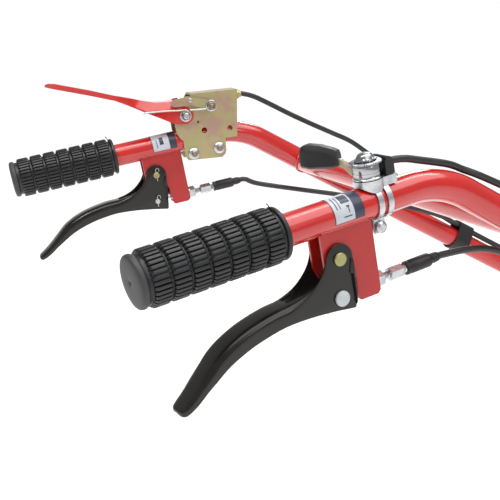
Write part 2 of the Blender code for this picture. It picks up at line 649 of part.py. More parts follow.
def build_clutch_bracket():
    frame = bar_frame(LEFT)
    outer = CLUTCH_INNER_HALF + CLUTCH_SHEET
    outline = clutch_bracket_outline()
    bracket = add_object("clutch_bracket", prism(outline, -outer, outer), YELLOW_ZINC, frame, side=LEFT)
    bend_side = box((0.0, OUTBOARD_CHEEK_FRONT, -0.06), (outer + 0.01, 0.33, 0.040))
    slope = (outline[-1][1] - outline[0][1]) / (outline[-1][0] - outline[0][0])

    def under_top(y):
        return outline[0][1] + slope * (y - outline[0][0]) - CLUTCH_SHEET

    inside = [(0.19, -0.06), (0.32, -0.06), (0.32, under_top(0.32)), (0.19, under_top(0.19))]
    cut(bracket, prism(inside, -CLUTCH_INNER_HALF, CLUTCH_INNER_HALF), frame, side=LEFT)
    cut(bracket, bend_side, frame, side=LEFT)
    holes = [(CLUTCH_PIVOT, CLUTCH_PIN_RADIUS + RUNNING, outer + 0.01), (LINK_PIVOT, LINK_PIN_RADIUS + GAP, outer + 0.01)]
    holes += [((0.2465, 0.0083), 0.0037, outer + 0.01), ((0.2798, 0.0041), 0.0034, outer + 0.01)]
    holes += [((0.2407, 0.0203), 0.0015, outer + 0.01)]
    for y in CLAMP_BOLTS_Y:
        holes.append(((y, clamp_bolt_z()), CLAMP_BOLT_RADIUS + GAP, outer + 0.01))
    for (y, z), radius, reach in holes:
        cut(bracket, rod_x(y, z, radius, -reach, reach), frame, side=LEFT)

    for name, y in zip(("clutch_clamp_bolt_rear", "clutch_clamp_bolt_front"), CLAMP_BOLTS_Y):
        face = outer + GAP
        bolt = spool([
            (-face - 0.0055, 0.0018), (-face - 0.0046, 0.0042), (-face - 0.0028, 0.0058), (-face - 0.0014, 0.0064),
            (-face - 0.0012, 0.0072), (-face, 0.0072), (-face, CLAMP_BOLT_RADIUS), (face, CLAMP_BOLT_RADIUS),
            (face, 0.010, "hex"), (face + 0.005, 0.010, "hex"),
        ], count=12)
        turn_mesh(bolt, Matrix.Translation((0.0, y, clamp_bolt_z())) @ ALONG_X)
        add_object(name, bolt, WHITE_ZINC, frame, side=LEFT)

    y, z = CROSS_PIN
    stop_front = CABLE_STOP_REAR + CABLE_STOP_THICKNESS
    stop_z = z - math.tan(WIRE_FALL) * (CABLE_STOP_REAR - y)
    half = CLUTCH_INNER_HALF - GAP
    stop = box((-half, CABLE_STOP_REAR, stop_z - 0.0055), (half, stop_front, stop_z + 0.0042))
    piece = add_object("clutch_cable_stop", stop, YELLOW_ZINC, frame, side=LEFT)
    pin = (CLUTCH_CABLE_X, y, z)
    bore = spool([(CABLE_STOP_REAR - 0.01, WIRE_RADIUS + 0.0008), (stop_front + 0.01, WIRE_RADIUS + 0.0008)])
    turn_mesh(bore, Matrix.Translation((CLUTCH_CABLE_X, 0.0, z)))
    cut(piece, bore, frame, pin, -WIRE_FALL, side=LEFT)

    eye = slotted_eye(CLUTCH_CABLE_X, y, z, CROSS_PIN_RADIUS, 0.0002, EYE_DROP, 0.0025, 0.0014)
    wire_piece = add_object("clutch_cable_wire", eye, STEEL_WIRE, frame, pin, -WIRE_FALL, side=LEFT)
    wire = spool([(y + CROSS_PIN_RADIUS + 0.0012, WIRE_RADIUS), (stop_front - 0.0010, WIRE_RADIUS)], count=8)
    turn_mesh(wire, Matrix.Translation((CLUTCH_CABLE_X, 0.0, z)))
    cut(wire_piece, wire, frame, pin, -WIRE_FALL, side=LEFT, join=True)


def clamp_bolt_z():
    return -(TUBE_RADIUS + CLAMP_BOLT_RADIUS + 2.0 * GAP)


def build_clutch_lever():
    frame = bar_frame(LEFT)
    y0, z0 = CLUTCH_PIVOT
    pivot = (0.0, y0, z0)
    cheek = CLUTCH_INNER_HALF + CLUTCH_SHEET + GAP
    outer = cheek + CLUTCH_LEVER_SHEET
    blade = CLUTCH_BLADE_HALF_WIDTH
    # y, top, top half width, shoulder, shoulder half width, bottom
    stations = [
        (0.0660, 0.1040, 0.003, 0.1033, 0.0035, 0.1016), (0.0700, 0.1052, 0.006, 0.1043, 0.0065, 0.0998),
        (0.0780, 0.1035, blade, 0.1024, blade, 0.0964), (0.0850, 0.1006, blade, 0.0995, blade, 0.0935),
        (0.1160, 0.0877, blade, 0.0866, blade, 0.0806), (0.1450, 0.0746, blade, 0.0735, blade, 0.0678),
        (0.1560, 0.0703, 0.0090, 0.0675, 0.0095, 0.0610),
        (0.1680, 0.0655, 0.0100, 0.0560, 0.0130, 0.0530), (0.1790, 0.0605, 0.0110, 0.0475, outer, 0.0455),
        (0.1930, 0.0555, 0.0120, 0.0458, outer, 0.0365), (0.2080, 0.0530, 0.0125, 0.0440, outer, 0.0265),
        (0.2180, 0.0525, 0.0130, 0.0428, outer, 0.0225), (0.2187, 0.0525, outer - 0.001, 0.0515, outer, 0.0222),
        (0.2264, 0.0525, outer - 0.001, 0.0515, outer, 0.0215),
        (0.2270, 0.0515, outer - 0.001, 0.0505, outer, 0.0215),
    ]
    for angle in (78.0, 60.0, 42.0, 25.0, 10.0):
        y = y0 + CLUTCH_BOSS_RADIUS * math.cos(math.radians(angle))
        half = CLUTCH_BOSS_RADIUS * math.sin(math.radians(angle))
        stations.append((y, z0 + half, outer - 0.001, z0 + half - 0.0004, outer, z0 - half))
    loops = []
    for y, top, top_half, shoulder, half, bottom in stations:
        loops.append([
            (-top_half, y, top), (top_half, y, top), (half, y, shoulder),
            (half, y, bottom), (-half, y, bottom), (-half, y, shoulder),
        ])
    lever = add_object("clutch_lever", loft(loops), RED_PAINT, frame, pivot, side=LEFT)
    sheet = CLUTCH_LEVER_SHEET
    loops = []
    hollow = [row for row in stations if 0.080 < row[0] < 0.2185]
    for y, top, top_half, shoulder, half, bottom in hollow:
        inner = half - sheet
        loops.append([
            (-top_half + sheet, y, top - sheet), (top_half - sheet, y, top - sheet), (inner, y, shoulder - sheet * 0.6),
            (inner, y, -0.02), (-inner, y, -0.02), (-inner, y, shoulder - sheet * 0.6),
        ])
    cut(lever, loft(loops), frame, pivot, side=LEFT)
    cut(lever, box((-cheek, hollow[-1][0] - 0.0005, -0.05), (cheek, 0.26, 0.09)), frame, pivot, side=LEFT)
    cut(lever, rod_x(y0, z0, CLUTCH_PIN_RADIUS + RUNNING, -0.04, 0.04), frame, pivot, side=LEFT)

    face = outer + GAP
    bolt = spool([
        (-face - 0.0085, CLUTCH_PIN_RADIUS - 0.0008), (-face - 0.0078, CLUTCH_PIN_RADIUS), (face, CLUTCH_PIN_RADIUS),
        (face, 0.013, "hex"), (face + 0.005, 0.013, "hex"),
    ], count=12)
    turn_mesh(bolt, Matrix.Translation((0.0, y0, z0)) @ ALONG_X)
    add_object("clutch_pivot_bolt", bolt, WHITE_ZINC, frame, pivot, side=LEFT)
    nut = spool([
        (-face - 0.0065, 0.0052), (-face - 0.0058, 0.010, "hex"), (-face - 0.0016, 0.010, "hex"),
        (-face - 0.0012, 0.0074), (-face, 0.0074),
    ], bore=(-face - 0.0065, -face, CLUTCH_PIN_RADIUS + GAP), count=12)
    turn_mesh(nut, Matrix.Translation((0.0, y0, z0)) @ ALONG_X)
    add_object("clutch_pivot_nut", nut, WHITE_ZINC, frame, pivot, side=LEFT)

    y, z = CROSS_PIN
    cut(lever, rod_x(y, z, CROSS_PIN_RADIUS + GAP, -0.04, 0.04), frame, pivot, side=LEFT)
    pin = spool([
        (-outer, CROSS_PIN_RADIUS), (face, CROSS_PIN_RADIUS), (face, 0.0042), (face + 0.0022, 0.0040),
    ], count=12)
    turn_mesh(pin, Matrix.Translation((0.0, y, z)) @ ALONG_X)
    add_object("clutch_cross_pin", pin, RED_PAINT, frame, pivot, side=LEFT)


# ---------------------------------------------------------------- lock link
def build_lock_link():
    frame = bar_frame(LEFT)
    y0, z0 = LINK_PIVOT
    layer = -(CLUTCH_INNER_HALF + CLUTCH_SHEET + GAP + CLUTCH_LEVER_SHEET + GAP)
    high = LINK_HALF_HEIGHT
    outline = arc((y0, z0), high, 80.0, -100.0, 8)
    outline += [(0.2360, 0.0433), (0.2300, 0.0440), (0.2150, 0.0452), (0.2118, 0.0470), (0.2112, 0.0510),
                (0.2140, 0.0545), (0.2330, 0.0550)]
    link = add_object("clutch_lock_link", prism(outline, layer - LINK_SHEET, layer), YELLOW_ZINC, frame, (0.0, y0, z0), side=LEFT)
    cut(link, rod_x(y0, z0, LINK_PIN_RADIUS + RUNNING, -0.04, 0.0), frame, (0.0, y0, z0), side=LEFT)
    rivet_hole = rod_x(0.2356, 0.0494, 0.0018 + GAP, -0.04, 0.0)
    cut(link, rivet_hole, frame, (0.0, y0, z0), side=LEFT)
    face = layer - LINK_SHEET - GAP
    rivet = spool([
        (face - 0.0012, 0.0018), (face - 0.0006, 0.0028), (face, 0.0028), (face, 0.0018),
        (layer + 0.0001, 0.0018),
    ], count=12)
    turn_mesh(rivet, Matrix.Translation((0.0, 0.2356, 0.0494)) @ ALONG_X)
    add_object("lock_link_rivet", rivet, WHITE_ZINC, frame, (0.0, y0, z0), side=LEFT)
    inner_face = CLUTCH_INNER_HALF - GAP
    bolt = spool([
        (face - 0.0060, 0.0022), (face - 0.0052, 0.0048), (face - 0.0016, 0.0052), (face - 0.0012, 0.0072),
        (face, 0.0072), (face, LINK_PIN_RADIUS), (-inner_face, LINK_PIN_RADIUS),
        (-inner_face, 0.010, "hex"), (-inner_face + 0.004, 0.010, "hex"),
    ], count=12)
    turn_mesh(bolt, Matrix.Translation((0.0, y0, z0)) @ ALONG_X)
    add_object("lock_link_bolt", bolt, WHITE_ZINC, frame, (0.0, y0, z0), side=LEFT)


# ---------------------------------------------------------------- throttle on the right bar
def build_throttle():
    frame = bar_frame(RIGHT)
    inner = TUBE_RADIUS + GAP
    outer = inner + STRAP_THICKNESS
    half_gap = EAR_GAP / 2.0
    ear = half_gap + EAR_THICKNESS
    inner_angle = math.degrees(math.asin(half_gap / inner))
    outer_angle = math.degrees(math.asin(ear / outer))
    outline = arc((0.0, 0.0), outer, -90.0 + outer_angle, 270.0 - outer_angle, 36)
    outline += [(-ear, -EAR_DEPTH), (-half_gap, -EAR_DEPTH)]
    outline += arc((0.0, 0.0), inner, 270.0 - inner_angle, -90.0 + inner_angle, 36)
    outline += [(half_gap, -EAR_DEPTH), (ear, -EAR_DEPTH)]
    strap = add_object("throttle_strap", lamina(outline, STRAP_REAR, STRAP_FRONT), WHITE_ZINC, frame)
    slot_rear = STRAP_REAR + STRAP_BAND
    slot_front = STRAP_FRONT - STRAP_BAND
    for way in (-1.0, 1.0):
        ends = sorted((way * 0.0070, way * 0.03))
        cut(strap, box((ends[0], slot_rear, -0.0135), (ends[1], slot_front, 0.0125)), frame)
    cut(strap, box((-0.01, STRAP_REAR + EAR_WIDTH, -0.05), (0.01, STRAP_FRONT + 0.01, -outer - 0.0004)), frame)
    screw_y = STRAP_REAR + EAR_WIDTH / 2.0
    hole = rod_x(screw_y, CLAMP_SCREW_Z, CLAMP_SCREW_RADIUS + GAP, -0.02, 0.02)
    cut(strap, hole, frame)
    face = ear + GAP
    screw = spool([
        (-face - 0.0035, 0.0085, "hex"), (-face, 0.0085, "hex"), (-face, CLAMP_SCREW_RADIUS),
        (face, CLAMP_SCREW_RADIUS), (face, 0.0058), (face + 0.0022, 0.0055), (face + 0.0038, 0.0030),
    ], count=12)
    turn_mesh(screw, Matrix.Translation((0.0, screw_y, CLAMP_SCREW_Z)) @ ALONG_X)
    add_object("throttle_clamp_screw", screw, WHITE_ZINC, frame)

    tongue = BLOCK_HALF_WIDTH + 0.0008
    start = math.degrees(math.asin(tongue / BASE_RADIUS))
    round_end = arc((0.0, THROTTLE_Y), BASE_RADIUS, 90.0 + start, 450.0 - start, 20)
    outline = round_end + [(tongue, BLOCK_FRONT + 0.0005), (-tongue, BLOCK_FRONT + 0.0005)]
    base = add_object("throttle_base", slab(outline, 0.010, BASE_TOP), WHITE_ZINC, frame)
    saddle = spool([(THROTTLE_Y - 0.03, outer + GAP), (BLOCK_FRONT + 0.01, outer + GAP)], count=32)
    cut(base, saddle, frame)
    cut(base, rod_z(0.0, THROTTLE_Y, STUD_RADIUS + GAP, -0.01, 0.04), frame)

    hub_low = BASE_TOP + GAP
    hub_top = hub_low + HUB_HEIGHT
    hub = spool([
        (hub_low, HUB_RADIUS + 0.0006), (hub_low + 0.0014, HUB_RADIUS + 0.0006), (hub_low + 0.0020, HUB_RADIUS),
        (hub_top, HUB_RADIUS),
    ], bore=(hub_low, hub_top, STUD_RADIUS + RUNNING), count=24)
    axis = (0.0, THROTTLE_Y, 0.0)
    turn_mesh(hub, Matrix.Translation(axis) @ ALONG_Z)
    add_object("throttle_hub", hub, CHROME, frame, axis)

    rim_low = hub_top + GAP
    rim_top = rim_low + RIM_THICKNESS
    rim = spool([
        (rim_low, RIM_RADIUS - 0.0006), (rim_low + 0.0008, RIM_RADIUS), (rim_top - 0.0006, RIM_RADIUS),
        (rim_top, RIM_RADIUS - 0.0015),
    ], bore=(rim_low, rim_top, STUD_RADIUS + GAP), count=24)
    turn_mesh(rim, Matrix.Translation(axis) @ ALONG_Z)
    add_object("throttle_rim_washer", rim, CHROME, frame, axis)

    head = rim_top + GAP
    bolt = spool([
        (outer + 0.0006, STUD_RADIUS), (head, STUD_RADIUS), (head, DOME_RADIUS), (head + 0.0015, DOME_RADIUS),
        (head + DOME_HEIGHT * 0.6, DOME_RADIUS * 0.86), (head + DOME_HEIGHT * 0.88, DOME_RADIUS * 0.55),
        (head + DOME_HEIGHT, DOME_RADIUS * 0.2),
    ], count=20)
    turn_mesh(bolt, Matrix.Translation(axis) @ ALONG_Z)
    add_object("throttle_pivot_bolt", bolt, CHROME, frame, axis)

    block_low = BASE_TOP + GAP
    block_rear = THROTTLE_Y + HUB_RADIUS + 0.0014
    side_outline = [
        (block_rear, block_low), (BLOCK_FRONT, block_low), (BLOCK_FRONT, block_low + BLOCK_HEIGHT - 0.004),
        (BLOCK_FRONT - 0.003, block_low + BLOCK_HEIGHT - 0.001), (block_rear + 0.002, block_low + BLOCK_HEIGHT),
        (block_rear, block_low + BLOCK_HEIGHT - 0.0035),
    ]
    block = prism(side_outline, -BLOCK_HALF_WIDTH, BLOCK_HALF_WIDTH)
    block = add_object("throttle_cable_block", block, BLACK_PLASTIC, frame)
    cut(block, box((-0.02, block_rear - 0.01, rim_low - 0.0006), (0.02, THROTTLE_Y + RIM_RADIUS + 0.0006, 0.06)), frame)
    bore = spool([(BLOCK_FRONT - 0.006, CABLE_RADIUS + 0.0007), (BLOCK_FRONT + 0.01, CABLE_RADIUS + 0.0007)])
    turn_mesh(bore, Matrix.Translation((0.0, 0.0, THROTTLE_CABLE_Z)))
    cut(block, bore, frame)

    # arm and knob are drawn along +X and then turned to the lever's bearing
    bearing = Matrix.Translation(axis) @ Matrix.Rotation(ARM_ANGLE, 4, "Z")
    half = ARM_THICKNESS / 2.0
    root = HUB_RADIUS + GAP + 0.0006
    low = hub_low + 0.0022
    crank = [
        (root, low), (root + 0.0015, low + 0.0010), (root + 0.0080, low + 0.0085),
        (KNOB_REACH + KNOB_LENGTH - 0.006, low + 0.0155),
    ]
    arm_loops = []
    for reach, bottom in crank:
        arm_loops.append([
            (reach, -half, bottom), (reach, half, bottom), (reach, half, bottom + ARM_HEIGHT), (reach, -half, bottom + ARM_HEIGHT),
        ])
    add_object("throttle_arm", turn_mesh(loft(arm_loops), bearing), YELLOW_ZINC, frame, axis)

    base_z = low + 0.0085
    thick = KNOB_HALF_THICKNESS
    rows = [(0.0, 0.0145, 0.90), (0.0040, 0.0165, 1.0), (0.0150, 0.0200, 1.0), (0.0260, 0.0215, 1.0),
            (0.0320, 0.0200, 0.94), (KNOB_LENGTH, 0.0165, 0.80)]
    knob_loops = []
    for reach, height, share in rows:
        x = KNOB_REACH + reach
        t = thick * share
        corner = t * 0.55
        bottom = base_z + (0.0015 if share < 1.0 else 0.0)
        top = base_z + height
        knob_loops.append([
            (x, -corner, bottom), (x, corner, bottom), (x, t, bottom + 0.0025), (x, t, top - 0.0045),
            (x, corner, top), (x, -corner, top), (x, -t, top - 0.0045), (x, -t, bottom + 0.0025),
        ])
    knob = add_object("throttle_knob", turn_mesh(loft(knob_loops), bearing), BLACK_PLASTIC, frame, axis)
    slot = []
    for reach, bottom in crank[2:]:
        grow = 0.0 if reach == crank[2][0] else GAP
        slot.append([
            (reach + grow, -half - GAP, bottom - GAP), (reach + grow, half + GAP, bottom - GAP),
            (reach + grow, half + GAP, bottom + ARM_HEIGHT + GAP), (reach + grow, -half - GAP, bottom + ARM_HEIGHT + GAP),
        ])
    cut(knob, turn_mesh(loft(slot), bearing), frame, axis)


THROTTLE_CABLE_Z = 0.0295


# ---------------------------------------------------------------- cables
def build_cable_holders(side):
    frame = lower_frame(side)
    circles = [(0.0, 0.0, TUBE_RADIUS + GAP)]
    circles += [(x, z, CABLE_RADIUS + 0.0006) for x, z in CABLE_SEATS.values()]
    inner = hull_outline(circles, 0.0)
    outer = hull_outline(circles, CABLE_STRAP_WALL)
    loops = []
    rear = STRAP_AT - CABLE_STRAP_WIDTH / 2.0
    front = rear + CABLE_STRAP_WIDTH
    for level, shape in ((rear, outer), (front, outer), (front, inner), (rear, inner)):
        loops.append([(x, level, z) for x, z in shape])
    add_object(side_name(side, "cable_strap"), loft(loops, closed=True), RUBBER, frame, side=side)

    top = CABLE_SEATS["steering"][1] + 0.0075
    outline = [(-0.0175, 0.004), (0.0175, 0.004), (0.0175, top - 0.006), (0.0115, top), (-0.0115, top), (-0.0175, top - 0.006)]
    plate = lamina(outline, ANCHOR_AT, ANCHOR_AT + ANCHOR_THICKNESS)
    anchor = add_object(side_name(side, "cable_anchor"), plate, RED_PAINT, frame, side=side)
    cut(anchor, spool([(ANCHOR_AT - 0.01, TUBE_RADIUS + GAP), (ANCHOR_AT + 0.02, TUBE_RADIUS + GAP)], count=32), frame, side=side)
    for x, z in CABLE_SEATS.values():
        hole = spool([(ANCHOR_AT - 0.01, FERRULE_NECK + GAP), (ANCHOR_AT + 0.02, FERRULE_NECK + GAP)])
        cut(anchor, turn_mesh(hole, Matrix.Translation((x, 0.0, z))), frame, side=side)


def build_ferrule(side, seat, name):
    """The cable's end fitting: cup, neck through the anchor, inner wire and its nipple."""
    frame = lower_frame(side)
    x, z = CABLE_SEATS[seat]
    face = ANCHOR_AT - GAP
    tail = ANCHOR_AT + ANCHOR_THICKNESS + FERRULE_TAIL
    mouth = face - FERRULE_LENGTH
    body = spool([
        (mouth, FERRULE_RADIUS), (face, FERRULE_RADIUS), (face, FERRULE_NECK),
        (ANCHOR_AT + ANCHOR_THICKNESS + 0.004, FERRULE_NECK), (ANCHOR_AT + ANCHOR_THICKNESS + 0.004, WIRE_RADIUS),
        (tail - 0.007, WIRE_RADIUS), (tail - 0.007, 0.0030), (tail, 0.0030),
    ], bore=(mouth, mouth + FERRULE_LENGTH - 0.003, CABLE_RADIUS + GAP), count=12)
    turn_mesh(body, Matrix.Translation((x, 0.0, z)))
    add_object(name, body, WHITE_ZINC, frame, side=side)


def hull_outline(circles, grow, count=40):
    """Convex outline round circles (x, z, radius), each grown, as count points."""
    points = []
    for i in range(count):
        angle = 2.0 * math.pi * i / count
        ray = Vector((math.cos(angle), math.sin(angle)))
        best = 0.0
        for k in range(count * 4):
            normal_angle = 2.0 * math.pi * k / (count * 4)
            normal = Vector((math.cos(normal_angle), math.sin(normal_angle)))
            facing = ray.dot(normal)
            if facing <= 0.05:
                continue
            support = max(x * normal.x + z * normal.y + radius + grow for x, z, radius in circles)
            reach = support / facing
            best = reach if best == 0.0 else min(best, reach)
        points.append((ray.x * best, ray.y * best))
    return points


def build_cable(name, side, route, radius=CABLE_RADIUS, points=44):
    """A cable sheath: a smooth curve through its route, as a tube with filled caps."""
    curve = bpy.data.curves.new(name, "CURVE")
    curve.dimensions = "3D"
    curve.bevel_depth = radius
    curve.bevel_resolution = 2
    curve.use_fill_caps = True
    spots = smooth_route([Vector(point) for point in route], points)
    spline = curve.splines.new("POLY")
    spline.points.add(len(spots) - 1)
    for point, spot in zip(spline.points, spots):
        point.co = (*spot, 1.0)
    piece = bpy.data.objects.new(name, curve)
    bpy.context.scene.collection.objects.link(piece)
    curve.materials.append(material(*CABLE_SHEATH))
    return piece


def smooth_route(route, count):
    """Evenly spaced points of a Catmull-Rom curve through the route's points."""
    padded = [route[0] * 2.0 - route[1]] + route + [route[-1] * 2.0 - route[-2]]
    fine = []
    for p0, p1, p2, p3 in zip(padded, padded[1:], padded[2:], padded[3:]):
        for step in range(24):
            t = step / 24.0
            fine.append(0.5 * ((2.0 * p1) + (p2 - p0) * t + (2.0 * p0 - 5.0 * p1 + 4.0 * p2 - p3) * t * t
                               + (3.0 * p1 - p0 - 3.0 * p2 + p3) * t * t * t))
    fine.append(route[-1])
    lengths = [0.0]
    for before, after in zip(fine, fine[1:]):
        lengths.append(lengths[-1] + (after - before).length)
    spots = []
    index = 0
    for i in range(count):
        wanted = lengths[-1] * i / (count - 1)
        while index < len(fine) - 2 and lengths[index + 1] < wanted:
            index += 1
        share = (wanted - lengths[index]) / (lengths[index + 1] - lengths[index])
        spots.append(fine[index].lerp(fine[index + 1], min(max(share, 0.0), 1.0)))
    return spots


def lead_in(side, seat):
    """The last stretch of a route: through the strap and into the ferrule's cup."""
    frame = lower_frame(side)
    x, z = CABLE_SEATS[seat]
    strap_rear = STRAP_AT - CABLE_STRAP_WIDTH / 2.0
    end = ANCHOR_AT - GAP - FERRULE_LENGTH + 0.007
    stops = (strap_rear, strap_rear + CABLE_STRAP_WIDTH, ANCHOR_AT - 0.05, end)
    return [frame @ Vector((side * x, y, z)) for y in stops]


def place(frame, side, spots):
    """Points given in a right-hand frame, carried to a side of the handlebar."""
    return [frame @ Vector((side * x, y, z)) for x, y, z in spots]


def build_cables():
    sheath_start = ADJUSTER_FRONT + GAP
    for side in (RIGHT, LEFT):
        start = [(0.0, y, ADJUSTER_Z) for y in (sheath_start, 0.262, 0.272, 0.2825)]
        start.append((0.0, 0.2900, ADJUSTER_Z - 0.0006))
        route = place(bar_frame(side), side, start)
        if side == RIGHT:
            fall = [(-0.0035, 0.060, -0.0440), (-0.0075, 0.088, -0.0330), (-0.0140, 0.150, -0.0220)]
        else:
            fall = [(-0.0030, 0.058, -0.0540), (-0.0080, 0.1145, -0.0370), (-0.0140, 0.172, -0.0190)]
        beside = -TUBE_RADIUS - 0.0075
        fall += [(beside, 0.228, -0.0040), (beside - 0.0025, 0.285, 0.0105), (-0.0160, 0.335, TUBE_RADIUS + 0.0045)]
        route += place(lower_frame(side), side, fall)
        route += lead_in(side, "steering")
        build_cable(side_name(side, "steering_cable"), side, route)

    y, z = CROSS_PIN
    fall = math.tan(WIRE_FALL)
    start_y = CABLE_STOP_REAR + CABLE_STOP_THICKNESS + 2.0 * GAP + CABLE_RADIUS * fall
    start = [(CLUTCH_CABLE_X, reach, z - fall * (reach - y)) for reach in (start_y, start_y + 0.003, start_y + 0.006)]
    route = place(bar_frame(LEFT), LEFT, start)
    arch = [
        (-0.0080, -0.0030, 0.0436), (-0.0070, 0.0225, 0.0450), (-0.0060, 0.0560, 0.0460), (-0.0050, 0.0910, 0.0480),
        (-0.0040, 0.1300, 0.0510), (-0.0030, 0.1500, 0.0525), (-0.0015, 0.1720, 0.0515), (0.0010, 0.2300, 0.0440),
        (0.0035, 0.3000, 0.0300), (0.0050, 0.3450, TUBE_RADIUS + 0.0075),
    ]
    route += place(lower_frame(LEFT), LEFT, arch)
    route += lead_in(LEFT, "second")
    build_cable("clutch_cable", LEFT, route, points=56)

    start = [
        (0.0, BLOCK_FRONT - 0.0055, THROTTLE_CABLE_Z), (0.0, BLOCK_FRONT - 0.0025, THROTTLE_CABLE_Z),
        (0.0, BLOCK_FRONT + 0.0015, THROTTLE_CABLE_Z), (0.0, 0.2600, 0.0270),
        (0.0, 0.2763, TUBE_RADIUS + 0.0072), (0.0, 0.3055, TUBE_RADIUS - 0.0041), (0.0, 0.3200, TUBE_RADIUS - 0.0126),
    ]
    route = place(bar_frame(RIGHT), RIGHT, start)
    run = [
        (0.0, 0.0327, TUBE_RADIUS + 0.0049), (0.0005, 0.0500, TUBE_RADIUS + 0.0064), (0.0020, 0.1000, TUBE_RADIUS + 0.0100),
        (0.0035, 0.1700, TUBE_RADIUS + 0.0135), (0.0045, 0.2500, TUBE_RADIUS + 0.0125), (0.0050, 0.3200, TUBE_RADIUS + 0.0075),
    ]
    route += place(lower_frame(RIGHT), RIGHT, run)
    route += lead_in(RIGHT, "second")
    build_cable("throttle_cable", RIGHT, route, points=56)


# ---------------------------------------------------------------- the whole handlebar
def main():
    for piece in list(bpy.data.objects):
        bpy.data.objects.remove(piece)
    build_frame()
    for side in (RIGHT, LEFT):
        build_grip(side)
        build_lever_bracket(side)
        build_steering_lever(side)
        build_adjuster(side)
        build_yoke(side)
        build_cable_holders(side)
    build_clutch_bracket()
    build_clutch_lever()
    build_lock_link()
    build_throttle()
    build_ferrule(RIGHT, "steering", "right_steering_ferrule")
    build_ferrule(LEFT, "steering", "left_steering_ferrule")
    build_ferrule(RIGHT, "second", "throttle_cable_ferrule")
    build_ferrule(LEFT, "second", "clutch_cable_ferrule")
    build_cables()


main()
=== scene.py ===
"""Studio scene of a walk-behind tiller's handlebar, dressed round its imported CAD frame."""
from __future__ import annotations

import json
import logging
import math
from dataclasses import dataclass, field
from enum import Enum
from typing import Any, Callable, Iterable, Sequence

import bmesh
import bpy
from mathutils import Matrix, Vector

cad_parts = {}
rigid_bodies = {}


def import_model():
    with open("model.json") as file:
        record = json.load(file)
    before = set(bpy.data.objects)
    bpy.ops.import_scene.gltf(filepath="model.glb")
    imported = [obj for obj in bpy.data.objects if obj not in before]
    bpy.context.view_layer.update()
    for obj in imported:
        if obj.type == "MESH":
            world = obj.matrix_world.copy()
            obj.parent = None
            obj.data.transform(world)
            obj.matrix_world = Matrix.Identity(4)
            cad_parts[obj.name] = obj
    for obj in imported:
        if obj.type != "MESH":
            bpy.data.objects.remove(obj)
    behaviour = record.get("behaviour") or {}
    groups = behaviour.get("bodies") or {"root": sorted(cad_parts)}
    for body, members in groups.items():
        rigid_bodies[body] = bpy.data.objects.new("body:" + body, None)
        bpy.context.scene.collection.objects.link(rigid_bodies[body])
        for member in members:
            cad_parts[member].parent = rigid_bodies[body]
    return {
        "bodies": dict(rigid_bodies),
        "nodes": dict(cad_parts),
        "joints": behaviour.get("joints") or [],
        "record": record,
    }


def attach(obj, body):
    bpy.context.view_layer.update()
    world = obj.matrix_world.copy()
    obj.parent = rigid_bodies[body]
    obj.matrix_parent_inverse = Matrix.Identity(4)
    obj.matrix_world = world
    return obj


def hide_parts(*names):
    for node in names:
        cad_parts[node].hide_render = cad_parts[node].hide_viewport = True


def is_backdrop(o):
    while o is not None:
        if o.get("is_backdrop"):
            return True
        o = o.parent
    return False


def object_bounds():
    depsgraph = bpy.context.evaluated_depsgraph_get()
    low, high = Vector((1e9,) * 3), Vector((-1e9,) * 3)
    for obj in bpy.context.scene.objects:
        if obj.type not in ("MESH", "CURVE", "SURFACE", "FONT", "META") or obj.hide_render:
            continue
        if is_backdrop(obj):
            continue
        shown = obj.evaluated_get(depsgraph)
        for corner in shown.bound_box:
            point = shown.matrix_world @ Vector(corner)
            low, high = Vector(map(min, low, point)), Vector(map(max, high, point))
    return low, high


LOG = logging.getLogger("handlebar")
Colour = tuple[float, float, float]
Pair = tuple[float, float]
Place = tuple[float, float, float]
FRAME: dict[str, Any] = {}


class Side(Enum):
    """Which bar a piece belongs to; the value is the sign of its place along X."""

    RIGHT = 1
    LEFT = -1

    @property
    def prefix(self) -> str:
        """The start of the names of this side's pieces."""
        return "right_" if self is Side.RIGHT else "left_"


class Body(Enum):
    """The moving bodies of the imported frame."""

    FRAME = "frame"
    RIGHT_LEVER = "right_lever"
    LEFT_LEVER = "left_lever"
    RIGHT_YOKE = "right_yoke"
    LEFT_YOKE = "left_yoke"
    CLUTCH_LEVER = "clutch_lever"
    CLUTCH_WIRE = "clutch_wire"
    LOCK_LINK = "lock_link"
    THROTTLE = "throttle_lever"


# ---------------------------------------------------------------- shading


class Signal:
    """A node socket whose arithmetic adds Math nodes."""

    def __init__(self, graph: "Graph", socket: bpy.types.NodeSocket) -> None:
        """Wrap one output socket of a graph."""
        self.graph = graph
        self.socket = socket

    def _math(self, operation: str, first: Any, second: Any) -> "Signal":
        """Add one Math node and return its result."""
        return self.graph.node("ShaderNodeMath", {"operation": operation}, {0: first, 1: second})

    def __add__(self, other: Any) -> "Signal":
        """self + other."""
        return self._math("ADD", self, other)

    def __radd__(self, other: Any) -> "Signal":
        """other + self."""
        return self._math("ADD", other, self)

    def __sub__(self, other: Any) -> "Signal":
        """self - other."""
        return self._math("SUBTRACT", self, other)

    def __rsub__(self, other: Any) -> "Signal":
        """other - self."""
        return self._math("SUBTRACT", other, self)

    def __mul__(self, other: Any) -> "Signal":
        """self * other."""
        return self._math("MULTIPLY", self, other)

    def __rmul__(self, other: Any) -> "Signal":
        """other * self."""
        return self._math("MULTIPLY", other, self)


